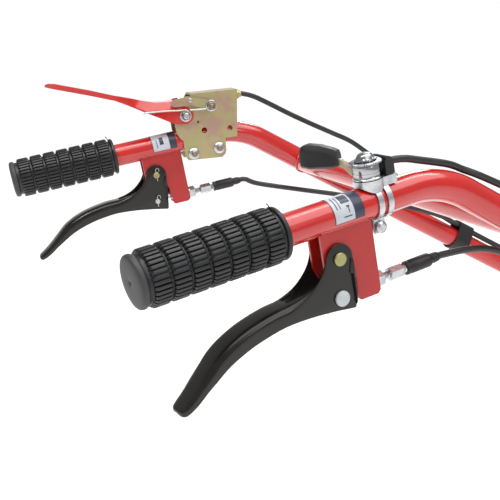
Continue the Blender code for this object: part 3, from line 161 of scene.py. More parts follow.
class Graph:
    """The node tree of one material."""

    def __init__(self, name: str) -> None:
        """Make the material with its Principled shader."""
        self.material = bpy.data.materials.new(name)
        self.material.use_nodes = True
        self.tree = self.material.node_tree
        self.shader = self.tree.nodes["Principled BSDF"]

    def node(
        self,
        kind: str,
        settings: dict[str, Any] | None = None,
        inputs: dict[Any, Any] | None = None,
        output: Any = 0,
    ) -> Signal:
        """Add a node.

        Args:
            kind: the node's type.
            settings: its properties, set before its sockets; "stops" fills a colour ramp.
            inputs: values or links of its sockets, by name or number.
            output: the socket to return.

        Returns:
            The wanted output, wrapped.
        """
        made = self.tree.nodes.new(kind)
        for key, value in (settings or {}).items():
            if key == "stops":
                ramp = made.color_ramp
                while len(ramp.elements) < len(value):
                    ramp.elements.new(0.5)
                for element, (place, colour) in zip(ramp.elements, value):
                    element.position = place
                    element.color = (*colour, 1.0)
            else:
                setattr(made, key, value)
        for key, value in (inputs or {}).items():
            self.feed(made.inputs[key], value)
        return Signal(self, made.outputs[output])

    def feed(self, socket: bpy.types.NodeSocket, value: Any) -> None:
        """Set a socket to a number or colour, or link a signal to it."""
        if isinstance(value, Signal):
            self.tree.links.new(value.socket, socket)
        elif isinstance(value, tuple) and len(value) == 3 and socket.type == "RGBA":
            socket.default_value = (*value, 1.0)
        else:
            socket.default_value = value

    def noise(self, at: Signal, scale: float, detail: float = 3.0, roughness: float = 0.55) -> Signal:
        """A noise pattern between 0 and 1."""
        return self.node(
            "ShaderNodeTexNoise", {},
            {"Vector": at, "Scale": scale, "Detail": detail, "Roughness": roughness},
        )

    def sharpen(self, value: Signal, low: float, high: float) -> Signal:
        """A value spread so that low becomes 0 and high becomes 1."""
        return self.node("ShaderNodeMapRange", {}, {"Value": value, "From Min": low, "From Max": high})

    def mix(self, share: Any, first: Any, second: Any) -> Signal:
        """Two colours mixed by a share."""
        return self.node(
            "ShaderNodeMix", {"data_type": "RGBA"}, {"Factor": share, 6: first, 7: second}, output=2
        )


@dataclass(frozen=True)
class Finish:
    """One surface finish.

    The main colour is broken up by patches of the second and, on plated parts, a third.
    Wear shows the bare colour on a few small spots."""

    name: str
    colour: Colour
    second: Colour
    roughness: float
    third: Colour | None = None
    metallic: float = 0.0
    coat: float = 0.0
    specular: float = 0.5
    patch_scale: float = 45.0
    grain_scale: float = 900.0
    grain_depth: float = 0.02
    spread: float = 0.10
    wear: float = 0.0
    bare: Colour = (0.05, 0.03, 0.025)

    def material(self) -> bpy.types.Material:
        """The finish's material, made on first use."""
        known = bpy.data.materials.get(self.name)
        return known if known is not None else self._make()

    def _make(self) -> bpy.types.Material:
        """Build the node tree."""
        graph = Graph(self.name)
        at = graph.node("ShaderNodeTexCoord", output="Object")
        patches = graph.noise(at, self.patch_scale, 4.0)
        share = graph.sharpen(patches, 0.36, 0.64)
        colour = graph.mix(share, self.colour, self.second)
        if self.third is not None:
            films = graph.noise(at, self.patch_scale * 0.6, 2.0)
            colour = graph.mix(graph.sharpen(films, 0.50, 0.66), colour, self.third)
        grain = graph.noise(at, self.grain_scale, 2.0)
        rough = self.roughness + (patches - 0.5) * self.spread
        if self.wear > 0.0:
            scuffs = graph.sharpen(graph.noise(at, 260.0, 5.0, 0.7), 0.72 - self.wear, 0.76 - self.wear)
            colour = graph.mix(scuffs * 0.7, colour, self.bare)
            rough = rough + scuffs * 0.2
        shader = graph.shader
        graph.feed(shader.inputs["Base Color"], colour)
        graph.feed(shader.inputs["Roughness"], rough)
        graph.feed(shader.inputs["Metallic"], self.metallic)
        graph.feed(shader.inputs["Coat Weight"], self.coat)
        graph.feed(shader.inputs["Coat Roughness"], 0.08)
        graph.feed(shader.inputs["Specular IOR Level"], self.specular)
        bump = graph.node(
            "ShaderNodeBump", {},
            {"Strength": 0.35, "Distance": self.grain_depth * 0.001, "Height": grain},
        )
        graph.feed(shader.inputs["Normal"], bump)
        return graph.material


RED = Finish(
    "gloss_red_enamel", (0.53, 0.0105, 0.0075), (0.47, 0.008, 0.006), 0.24, coat=0.85, patch_scale=16.0,
    grain_scale=420.0, grain_depth=0.05, spread=0.08,
)
RED_SATIN = Finish(
    "stamped_red_enamel", (0.40, 0.0085, 0.006), (0.34, 0.007, 0.005), 0.36, coat=0.25, patch_scale=30.0,
    grain_scale=500.0, grain_depth=0.07, wear=0.01,
)
RUBBER = Finish("grip_rubber", (0.0065, 0.0068, 0.0078), (0.0105, 0.011, 0.0125), 0.40, patch_scale=90.0,
                grain_scale=1500.0, grain_depth=0.06, spread=0.16)
CAP_RUBBER = Finish(
    "grip_end_rubber", (0.030, 0.028, 0.028), (0.042, 0.040, 0.041), 0.55, patch_scale=70.0,
    grain_scale=1300.0, grain_depth=0.08, spread=0.2,
)
LEVER_BLACK = Finish(
    "lever_black_enamel", (0.0085, 0.0075, 0.0065), (0.0135, 0.012, 0.0105), 0.22, patch_scale=55.0,
    grain_scale=700.0, grain_depth=0.12, spread=0.18, specular=0.42,
)
PLASTIC = Finish(
    "moulded_black_plastic", (0.0095, 0.0095, 0.010), (0.014, 0.014, 0.015), 0.44, patch_scale=80.0,
    grain_scale=1900.0, grain_depth=0.16, specular=0.42,
)
SHEATH = Finish(
    "cable_sheath_black", (0.014, 0.014, 0.015), (0.020, 0.020, 0.021), 0.42, patch_scale=60.0,
    grain_scale=1200.0, grain_depth=0.05,
)
YELLOW_ZINC = Finish(
    "yellow_passivated_zinc", (0.46, 0.37, 0.22), (0.40, 0.385, 0.17), 0.34, third=(0.43, 0.28, 0.215),
    metallic=0.6, patch_scale=70.0, grain_scale=900.0, grain_depth=0.08, spread=0.16,
)
PALE_ZINC = Finish(
    "pale_yellow_zinc", (0.60, 0.54, 0.40), (0.52, 0.50, 0.34), 0.32, metallic=0.7, patch_scale=120.0,
    grain_scale=1100.0, grain_depth=0.08, spread=0.16,
)
WHITE_ZINC = Finish(
    "bright_zinc", (0.62, 0.63, 0.64), (0.46, 0.48, 0.50), 0.28, metallic=0.92, patch_scale=160.0,
    grain_scale=1400.0, grain_depth=0.08, spread=0.2,
)
# painted shade: a darkened copy of the bright zinc, laid on the nuts and bolt hexagons to stand for the
# shadow they sit in
SHADOW_DARK_ZINC = Finish(
    "zinc_painted_as_shadow", (0.20, 0.20, 0.19), (0.28, 0.26, 0.20), 0.32, metallic=0.9, patch_scale=200.0,
    grain_scale=1400.0, grain_depth=0.08, spread=0.2,
)
PIN_YELLOW = Finish(
    "yellow_zinc_head", (0.42, 0.34, 0.15), (0.30, 0.34, 0.13), 0.34, third=(0.36, 0.22, 0.15),
    metallic=0.7, patch_scale=160.0, grain_scale=1100.0, grain_depth=0.1,
)
PIN_ZINC = Finish(
    "flat_zinc_head", (0.52, 0.55, 0.56), (0.44, 0.47, 0.49), 0.5, metallic=0.3, patch_scale=120.0,
    grain_scale=1100.0, grain_depth=0.1,
)
CHROME = Finish(
    "polished_chrome", (0.52, 0.52, 0.53), (0.44, 0.45, 0.46), 0.17, metallic=1.0, patch_scale=120.0,
    grain_scale=900.0, grain_depth=0.02, spread=0.06,
)
WORN_CHROME = Finish(
    "worn_chrome", (0.36, 0.37, 0.38), (0.28, 0.29, 0.30), 0.26, metallic=1.0, patch_scale=220.0,
    grain_scale=1200.0, grain_depth=0.06, spread=0.16,
)
COPPERY = Finish(
    "coppery_zinc", (0.42, 0.24, 0.13), (0.34, 0.24, 0.12), 0.30, metallic=0.85, patch_scale=300.0,
    grain_scale=1400.0, grain_depth=0.06,
)
WIRE = Finish(
    "drawn_wire", (0.56, 0.56, 0.54), (0.42, 0.42, 0.40), 0.30, metallic=0.95, patch_scale=300.0,
)
SPRING = Finish(
    "spring_wire", (0.66, 0.64, 0.60), (0.54, 0.52, 0.48), 0.28, metallic=0.7, patch_scale=300.0,
)
LABEL_WHITE = Finish(
    "label_white", (0.50, 0.52, 0.57), (0.44, 0.46, 0.51), 0.38, coat=0.2, patch_scale=80.0,
)
LABEL_NAVY = Finish(
    "label_navy", (0.018, 0.024, 0.050), (0.026, 0.033, 0.062), 0.40, coat=0.2, patch_scale=90.0,
)
LABEL_BLACK = Finish(
    "label_black", (0.012, 0.012, 0.014), (0.018, 0.018, 0.02), 0.42, coat=0.2, patch_scale=90.0,
)


# ---------------------------------------------------------------- layout


@dataclass(frozen=True)
class Layout:
    """The bars' centre lines, as the CAD has them, with the plate's front face at the origin."""

    spacing: float = 0.545
    splay: float = math.radians(6.85)
    pitch: float = math.radians(11.3)
    knee: float = 0.294
    knee_radius: float = 0.094
    drop: float = math.radians(27.3)
    lower_run: float = 0.52
    toe_in: float = math.radians(40.0)
    toe_radius: float = 0.07
    foot_spacing: float = 0.15
    tube_radius: float = 0.014
    gap: float = 0.0003

    def corners(self) -> list[Vector]:
        """Corners of the right bar's axis, from its rear end to its foot."""
        rear = Vector((self.spacing / 2.0, 0.0, 0.0))
        turn = Matrix.Rotation(self.splay, 3, "Z") @ Matrix.Rotation(self.pitch, 3, "X")
        knee = rear + turn @ Vector((0.0, self.knee, 0.0))
        down = Vector((0.0, math.cos(self.drop), -math.sin(self.drop)))
        toe = knee + down * self.lower_run
        inward = down * math.cos(self.toe_in) - Vector((math.sin(self.toe_in), 0.0, 0.0))
        foot = toe + inward * ((toe.x - self.foot_spacing / 2.0) / math.sin(self.toe_in))
        shift = Vector((0.0, foot.y + 0.006 + self.gap, foot.z))
        return [corner - shift for corner in (rear, knee, toe, foot)]

    def bar(self, side: Side) -> Matrix:
        """Frame of a gripped stretch: Y along the bar from its rear end."""
        rear = self.corners()[0]
        turn = Matrix.Rotation(side.value * self.splay, 4, "Z") @ Matrix.Rotation(self.pitch, 4, "X")
        return Matrix.Translation((side.value * rear.x, rear.y, rear.z)) @ turn

    def lower(self, side: Side) -> Matrix:
        """Frame of a lower stretch: Y along the tube from the first bend's corner."""
        knee = self.corners()[1]
        corner = Matrix.Translation((side.value * knee.x, knee.y, knee.z))
        return corner @ Matrix.Rotation(-self.drop, 4, "X")

    def axis_path(self) -> list[Vector]:
        """Points of the right bar's axis with its bends rounded."""
        corners = self.corners()
        points = [corners[0]]
        for index, radius in ((1, self.knee_radius), (2, self.toe_radius)):
            back = (corners[index - 1] - corners[index]).normalized()
            ahead = (corners[index + 1] - corners[index]).normalized()
            half = back.angle(ahead) / 2.0
            middle = corners[index] + (back + ahead).normalized() * (radius / math.sin(half))
            first = corners[index] + back * (radius / math.tan(half)) - middle
            last = corners[index] + ahead * (radius / math.tan(half)) - middle
            axis = first.cross(last).normalized()
            turn = first.angle(last)
            points += [middle + Matrix.Rotation(turn * k / 24, 3, axis) @ first for k in range(25)]
        points.append(corners[-1])
        return points


@dataclass(frozen=True)
class WireRun:
    """The straight, falling line of the clutch's inner wire, in the left bar's frame."""

    aside: float = 0.008
    pin: Pair = (0.2230, 0.0482)
    stop: float = 0.2950
    stop_thickness: float = 0.0023
    fall: float = math.radians(3.9)

    def height(self, along: float) -> float:
        """The wire's height over the bar's axis."""
        return self.pin[1] - math.tan(self.fall) * (along - self.pin[0])


LAYOUT = Layout()
WIRE_RUN = WireRun()


def between(before: Any, first: Any, second: Any, after: Any, share: float) -> Any:
    """A number or place between the middle two of four, on the smooth curve through them."""
    bend = before * 2.0 - first * 5.0 + second * 4.0 - after
    swing = first * 3.0 - before - second * 3.0 + after
    return 0.5 * (first * 2.0 + (second - before) * share + bend * share * share + swing * share ** 3)


# ---------------------------------------------------------------- the bench


class Bench:
    """Modelling moves, made with Blender's own operators."""

    @staticmethod
    def clear() -> None:
        """Leave edit mode and deselect everything."""
        if bpy.context.object is not None and bpy.context.object.mode != "OBJECT":
            bpy.ops.object.mode_set(mode="OBJECT")
        bpy.ops.object.select_all(action="DESELECT")

    @staticmethod
    def grasp(piece: bpy.types.Object) -> None:
        """Make a piece the only selected and the active one."""
        Bench.clear()
        piece.select_set(True)
        bpy.context.view_layer.objects.active = piece

    @staticmethod
    def edit(piece: bpy.types.Object, *moves: Callable[[], Any]) -> None:
        """Run operators in edit mode with everything selected."""
        Bench.grasp(piece)
        bpy.ops.object.mode_set(mode="EDIT")
        bpy.ops.mesh.select_all(action="SELECT")
        for move in moves:
            move()
        bpy.ops.object.mode_set(mode="OBJECT")

    @staticmethod
    def outward(piece: bpy.types.Object) -> bpy.types.Object:
        """Merge doubles and point every face outwards."""
        Bench.edit(
            piece,
            lambda: bpy.ops.mesh.remove_doubles(threshold=0.000005),
            lambda: bpy.ops.mesh.normals_make_consistent(inside=False),
        )
        return piece

    @staticmethod
    def apply(piece: bpy.types.Object, kind: str, **settings: Any) -> bpy.types.Object:
        """Add a modifier with its settings and apply it."""
        Bench.grasp(piece)
        modifier = piece.modifiers.new(kind.lower(), kind)
        for key, value in settings.items():
            setattr(modifier, key, value)
        bpy.ops.object.modifier_apply(modifier=modifier.name)
        return piece

    @staticmethod
    def soften(
        piece: bpy.types.Object, width: float, segments: int = 2, angle: float = 30.0,
    ) -> bpy.types.Object:
        """Round the edges that are sharper than an angle."""
        return Bench.apply(
            piece, "BEVEL", width=width, segments=segments, limit_method="ANGLE",
            angle_limit=math.radians(angle),
        )

    @staticmethod
    def smooth(piece: bpy.types.Object, angle: float = 40.0) -> bpy.types.Object:
        """Shade smooth up to an angle."""
        Bench.grasp(piece)
        bpy.ops.object.shade_smooth_by_angle(angle=math.radians(angle))
        return piece

    @staticmethod
    def turned(
        name: str, profile: Sequence[Pair], sides: int = 48, hexes: Iterable[int] = (),
    ) -> bpy.types.Object:
        """Turn a closed body about Z.

        Args:
            name: the piece's name.
            profile: (height, radius) stations, each radius above nought.
            sides: points of each ring.
            hexes: stations whose radius is half a hexagon's width across flats.

        Returns:
            The piece, with its faces outwards.
        """
        Bench.clear()
        bpy.ops.mesh.primitive_circle_add(
            vertices=sides, radius=1.0, fill_type="NGON", location=(0.0, 0.0, 0.0),
        )
        piece = bpy.context.object
        piece.name = name
        flats = set(hexes)

        def shape() -> None:
            for index, (height, radius) in enumerate(profile):
                if index:
                    bpy.ops.mesh.extrude_region_move(TRANSFORM_OT_translate={"value": (0.0, 0.0, 0.001)})
                mesh = bmesh.from_edit_mesh(piece.data)
                for vert in mesh.verts:
                    if vert.select:
                        spoke = math.atan2(vert.co.y, vert.co.x)
                        past_flat = (spoke + math.pi / 6.0) % (math.pi / 3.0) - math.pi / 6.0
                        reach = radius / math.cos(past_flat) if index in flats else radius
                        vert.co = (reach * math.cos(spoke), reach * math.sin(spoke), height)
                bmesh.update_edit_mesh(piece.data)

        Bench.edit(piece, shape)
        return Bench.outward(piece)

    @staticmethod
    def tube(
        name: str, points: Sequence[Vector], radius: float, rings: int = 12, lumps: Sequence[float] = (),
        closed: bool = False,
    ) -> bpy.types.Object:
        """A round tube along points, as a mesh.

        Args:
            name: the piece's name.
            points: the axis.
            radius: the tube's radius.
            rings: bevel steps of its section.
            lumps: a share of the radius at each point, for a weld's ripples.
            closed: True joins the last point to the first.

        Returns:
            The piece.
        """
        Bench.clear()
        bpy.ops.curve.primitive_nurbs_path_add(location=(0.0, 0.0, 0.0))
        piece = bpy.context.object
        piece.name = name
        curve = piece.data
        curve.splines.clear()
        spline = curve.splines.new("POLY")
        spline.points.add(len(points) - 1)
        for index, (slot, point) in enumerate(zip(spline.points, points)):
            slot.co = (*point, 1.0)
            slot.radius = lumps[index] if lumps else 1.0
        spline.use_cyclic_u = closed
        spline.use_smooth = True
        curve.dimensions = "3D"
        curve.bevel_depth = radius
        curve.bevel_resolution = rings
        curve.use_fill_caps = not closed
        Bench.grasp(piece)
        bpy.ops.object.convert(target="MESH")
        return bpy.context.object

    @staticmethod
    def sheet(name: str, rows: Sequence[Sequence[Sequence[float]]]) -> bpy.types.Object:
        """An open sheet whose grid of points is rows of places."""
        Bench.clear()
        across = len(rows[0])
        bpy.ops.mesh.primitive_grid_add(x_subdivisions=across - 1, y_subdivisions=len(rows) - 1, size=1.0)
        piece = bpy.context.object
        piece.name = name
        places = [place for row in rows for place in row]
        for vert, place in zip(piece.data.vertices, places):
            vert.co = place
        return piece

    @staticmethod
    def settle(piece: bpy.types.Object, place: Matrix, side: Side = Side.RIGHT) -> bpy.types.Object:
        """Carry a piece made in a right-hand frame into the row frame, mirrored on the left."""
        if side is Side.LEFT:
            piece.data.transform(Matrix.Scale(-1.0, 4, Vector((1.0, 0.0, 0.0))))
            piece.data.flip_normals()
        piece.data.transform(place)
        piece.matrix_world = Matrix()
        return piece


ALONG_Y = Matrix.Rotation(math.radians(-90.0), 4, "X")
ALONG_X = Matrix.Rotation(math.radians(90.0), 4, "Y")


def dress(
    piece: bpy.types.Object, finish: Finish, body: Body, slot: str, *nodes: str
) -> bpy.types.Object:
    """Give a piece its finish, its body and the CAD nodes it stands for.

    Args:
        piece: the finished mesh.
        finish: its surface.
        body: what it moves with.
        slot: the record's material slot it would belong to; not used.
        nodes: the CAD nodes that it replaces.

    Returns:
        The piece.
    """
    piece.data.materials.clear()
    piece.data.materials.append(finish.material())
    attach(piece, body.value)
    if nodes:
        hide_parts(*nodes)
    LOG.info("%s rides on %s in %s", piece.name, body.value, finish.name)
    return piece


def turn_part(
    name: str, profile: Sequence[Pair], place: Matrix, side: Side, look: tuple[Finish, Body, str],
    nodes: Sequence[str] = (), sides: int = 40, hexes: Iterable[int] = (), crease: float = 32.0,
) -> bpy.types.Object:
    """Turn a body about Z, carry it to its place and dress it.

    Args:
        name: the piece's name.
        profile: (height, radius) stations.
        place: where the right-hand piece's frame goes.
        side: LEFT mirrors the piece first.
        look: its finish, body and material slot.
        nodes: the CAD nodes that it replaces.
        sides: points of each ring.
        hexes: stations with flats.
        crease: edges sharper than this many degrees stay sharp.

    Returns:
        The piece.
    """
    piece = Bench.turned(name, profile, sides, hexes)
    Bench.smooth(piece, crease)
    Bench.settle(piece, place, side)
    finish, body, slot = look
    return dress(piece, finish, body, slot, *nodes)


def renew(
    node: str, finish: Finish, body: Body, slot: str, width: float = 0.0004, angle: float = 40.0,
) -> bpy.types.Object:
    """Replace a CAD node by a copy with merged faces and softened edges."""
    mesh = FRAME["nodes"][node].data.copy()
    piece = bpy.data.objects.new(f"{node}_finished", mesh)
    bpy.context.scene.collection.objects.link(piece)
    Bench.edit(
        piece,
        lambda: bpy.ops.mesh.remove_doubles(threshold=0.000005),
        lambda: bpy.ops.mesh.dissolve_limited(angle_limit=math.radians(0.8)),
    )
    if width > 0.0:
        Bench.soften(piece, width, 2, 32.0)
    Bench.smooth(piece, angle)
    Bench.apply(piece, "WEIGHTED_NORMAL", keep_sharp=True, weight=80)
    return dress(piece, finish, body, slot, node)


def renew_all(rows: Iterable[tuple[str, Finish, Body, str, float]]) -> None:
    """Renew several CAD nodes, each row holding the node, finish, body, slot and edge width."""
    for row in rows:
        renew(*row)


# ---------------------------------------------------------------- studio


@dataclass
class Studio:
    """Camera, lights and the pale floor."""

    eye: tuple[float, float, float] = (0.97048, -1.11390, 0.45760)
    bearing: float = math.radians(67.95)
    tilt: float = math.radians(77.28)
    lens: float = 72.0
    aim: tuple[float, float, float] = (0.1, -0.75, 0.28)
    floor_drop: float = 0.012
    sky_power: float = 2.5
    room_power: float = 0.36

    def camera(self) -> None:
        """Place the camera."""
        data = bpy.data.cameras.new("studio_camera")
        data.lens = self.lens
        data.sensor_width = 36.0
        data.clip_start = 0.01
        camera = bpy.data.objects.new("studio_camera", data)
        bpy.context.scene.collection.objects.link(camera)
        camera.matrix_world = (
            Matrix.Translation(self.eye) @ Matrix.Rotation(self.bearing, 4, "Z")
            @ Matrix.Rotation(self.tilt, 4, "X")
        )
        bpy.context.scene.camera = camera
        bpy.context.scene.view_settings.view_transform = "Standard"

    @staticmethod
    def lamp(name: str, kind: str, place: Matrix, power: float, **settings: Any) -> None:
        """Add one light, with any further settings."""
        data = bpy.data.lights.new(name, kind)
        data.energy = power
        for key, value in settings.items():
            setattr(data, key, value)
        lamp = bpy.data.objects.new(name, data)
        bpy.context.scene.collection.objects.link(lamp)
        lamp.matrix_world = place

    def box(self, name: str, place: Sequence[float], size: float, power: float, warmth: Colour) -> None:
        """Add one soft square box that faces the object."""
        facing = (Vector(self.aim) - Vector(place)).to_track_quat("-Z", "Y").to_matrix().to_4x4()
        self.lamp(
            name, "AREA", Matrix.Translation(place) @ facing, power, shape="SQUARE", size=size,
            color=warmth,
        )

    def paper(self, name: str, size: float, place: Matrix) -> None:
        """One large sheet of pale paper."""
        Bench.clear()
        bpy.ops.mesh.primitive_plane_add(size=size, location=(0.0, 0.0, 0.0))
        sheet = bpy.context.object
        sheet.name = name
        sheet.data.transform(place)
        sheet.data.materials.append(self.pale())
        sheet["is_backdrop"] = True

    def pale(self) -> bpy.types.Material:
        """The paper's material, made on first use."""
        known = bpy.data.materials.get("studio_paper")
        if known is not None:
            return known
        graph = Graph("studio_paper")
        at = graph.node("ShaderNodeTexCoord", output="Object")
        tone = graph.mix(graph.noise(at, 3.0), (0.93, 0.93, 0.93), (0.95, 0.95, 0.95))
        graph.feed(graph.shader.inputs["Base Color"], tone)
        graph.feed(graph.shader.inputs["Roughness"], 0.9)
        return graph.material

    def build(self, lowest: float) -> None:
        """Make the lights and the floor under the object's lowest point."""
        self.box("key_box", (0.3, -1.7, 1.7), 0.35, 7.0, (1.0, 0.985, 0.96))
        self.box("side_box", (1.9, -0.2, 1.1), 0.6, 4.0, (0.97, 0.985, 1.0))
        self.box("rim_box", (-1.4, 0.3, 1.5), 0.5, 7.0, (1.0, 1.0, 1.0))
        over_bars = Matrix.Translation((0.15, -0.85, 1.5))
        self.lamp("strip_box", "AREA", over_bars, 7.0, shape="RECTANGLE", size=0.10, size_y=2.4)
        lean = Matrix.Rotation(math.radians(14.0), 4, "Y") @ Matrix.Rotation(math.radians(-10.0), 4, "X")
        self.lamp("overhead", "SUN", lean, self.sky_power, angle=math.radians(70.0))
        world = bpy.data.worlds.new("pale_room")
        world.use_nodes = True
        back = world.node_tree.nodes["Background"]
        back.inputs["Color"].default_value = (1.0, 1.0, 1.0, 1.0)
        back.inputs["Strength"].default_value = self.room_power
        bpy.context.scene.world = world
        down = Matrix.Translation((0.0, 0.0, lowest - self.floor_drop))
        self.paper("studio_floor", 24.0, down)
        wall = Matrix.Translation((-7.4, 3.0, 1.0)) @ Matrix.Rotation(self.bearing, 4, "Z")
        self.paper("studio_backdrop", 9.0, wall @ Matrix.Rotation(math.radians(42.0), 4, "X"))


# ---------------------------------------------------------------- tubes, plate and welds


@dataclass
class TubeFrame:
    """The two bent bars, the cross tube, the plate and their welds."""

    cross_at: float = 0.104
    bead: float = 0.0019
    plate_rear: float = -0.0063
    bracket_half_width: float = 0.0107
    bracket_rear: float = 0.1625
    bracket_front: float = 0.2125

    def weld(self, name: str, points: Sequence[Vector], closed: bool, bead: float = 0.0) -> None:
        """A rippled weld bead along points, painted over; a bead of nought takes the usual width."""
        lumps = [
            1.0 + 0.16 * math.sin(2.1 * k) + 0.08 * math.sin(5.3 * k + 1.0) for k in range(len(points))
        ]
        piece = Bench.tube(name, points, bead or self.bead, 5, lumps, closed)
        Bench.smooth(piece, 60.0)
        dress(piece, RED, Body.FRAME, "red_paint")

    def meet_plate(self, piece: bpy.types.Object, side: Side) -> None:
        """Slide the end of a bar that stands past the plate's rear face back to it, along the foot's axis.

        Args:
            piece: the bar, in world coordinates.
            side: the side it is on.
        """
        corners = LAYOUT.corners()
        axis = corners[3] - corners[2]
        axis.x *= side.value
        for vertex in piece.data.vertices:
            past = vertex.co.y - self.plate_rear
            if past > 0.0:
                vertex.co = vertex.co - axis * (past / axis.y)

    def bars(self) -> None:
        """Both bars, each a smooth bent tube."""
        path = LAYOUT.axis_path()
        along = (path[1] - path[0]).normalized()
        path[0] = path[0] + along * 0.0036
        for side in Side:
            points = [Vector((side.value * p.x, p.y, p.z)) for p in path]
            piece = Bench.tube(f"{side.prefix}bar_tube", points, LAYOUT.tube_radius, 18)
            self.meet_plate(piece, side)
            Bench.smooth(piece, 50.0)
            dress(piece, RED, Body.FRAME, "red_paint", f"{side.prefix}handle_bar")

    def cross_tube(self) -> None:
        """The straight tube between the bars and the bead at each of its ends."""
        middle = LAYOUT.lower(Side.RIGHT) @ Vector((0.0, self.cross_at, 0.0))
        lean = Matrix.Rotation(-LAYOUT.drop, 4, "X")
        half = middle.x - 0.004
        ends = [Vector((x, middle.y, middle.z)) for x in (-half, half)]
        piece = Bench.tube("cross_tube_smooth", ends, LAYOUT.tube_radius, 18)
        Bench.smooth(piece, 50.0)
        dress(piece, RED, Body.FRAME, "red_paint", "cross_tube")
        radius = LAYOUT.tube_radius
        for side in Side:
            ring = []
            for k in range(72):
                angle = 2.0 * math.pi * k / 72
                a, b = radius * math.cos(angle), radius * math.sin(angle)
                x = side.value * (middle.x - math.sqrt(max(radius * radius - b * b, 0.0)) * 0.98 - 0.0006)
                spot = lean @ Vector((0.0, a, b))
                ring.append(Vector((x, middle.y + spot.y, middle.z + spot.z)))
            self.weld(f"{side.prefix}cross_tube_weld", ring, True)

    def feet(self) -> None:
        """The plate and the bead round each bar's foot."""
        renew("mount_plate", RED_SATIN, Body.FRAME, "red_paint", 0.0008)
        corners = LAYOUT.corners()
        axis = (corners[3] - corners[2]).normalized()
        side_way = axis.orthogonal().normalized()
        other = axis.cross(side_way)
        for side in Side:
            ring = []
            for k in range(60):
                angle = 2.0 * math.pi * k / 60
                spoke = side_way * math.cos(angle) + other * math.sin(angle)
                spot = corners[3] + spoke * LAYOUT.tube_radius
                spot = spot + axis * ((self.plate_rear - 0.0005 - spot.y) / axis.y)
                ring.append(Vector((side.value * spot.x, spot.y, spot.z)))
            self.weld(f"{side.prefix}foot_weld", ring, True)

    def bracket_welds(self) -> None:
        """Beads along both sides and across the front of each lever bracket."""
        radius = LAYOUT.tube_radius
        half = self.bracket_half_width
        sink = -math.sqrt(radius * radius - half * half) + 0.0002
        for side in Side:
            place = LAYOUT.bar(side)
            for name, x in (("inner", -half), ("outer", half)):
                line = [
                    place @ Vector((side.value * x, self.bracket_rear + 0.0016 * k, sink))
                    for k in range(30)
                ]
                self.weld(f"{side.prefix}bracket_weld_{name}", line, False, 0.0010)
            front = []
            for k in range(15):
                x = side.value * half * (k / 7.0 - 1.0)
                front.append(
                    place @ Vector((x, self.bracket_front, sink - 0.0022 * math.sin(math.pi * k / 14.0)))
                )
            self.weld(f"{side.prefix}bracket_weld_front", front, False, 0.0014)

    def build(self) -> None:
        """Make every piece."""
        self.bars()
        self.cross_tube()
        self.bracket_welds()
        self.feet()


# ---------------------------------------------------------------- grips


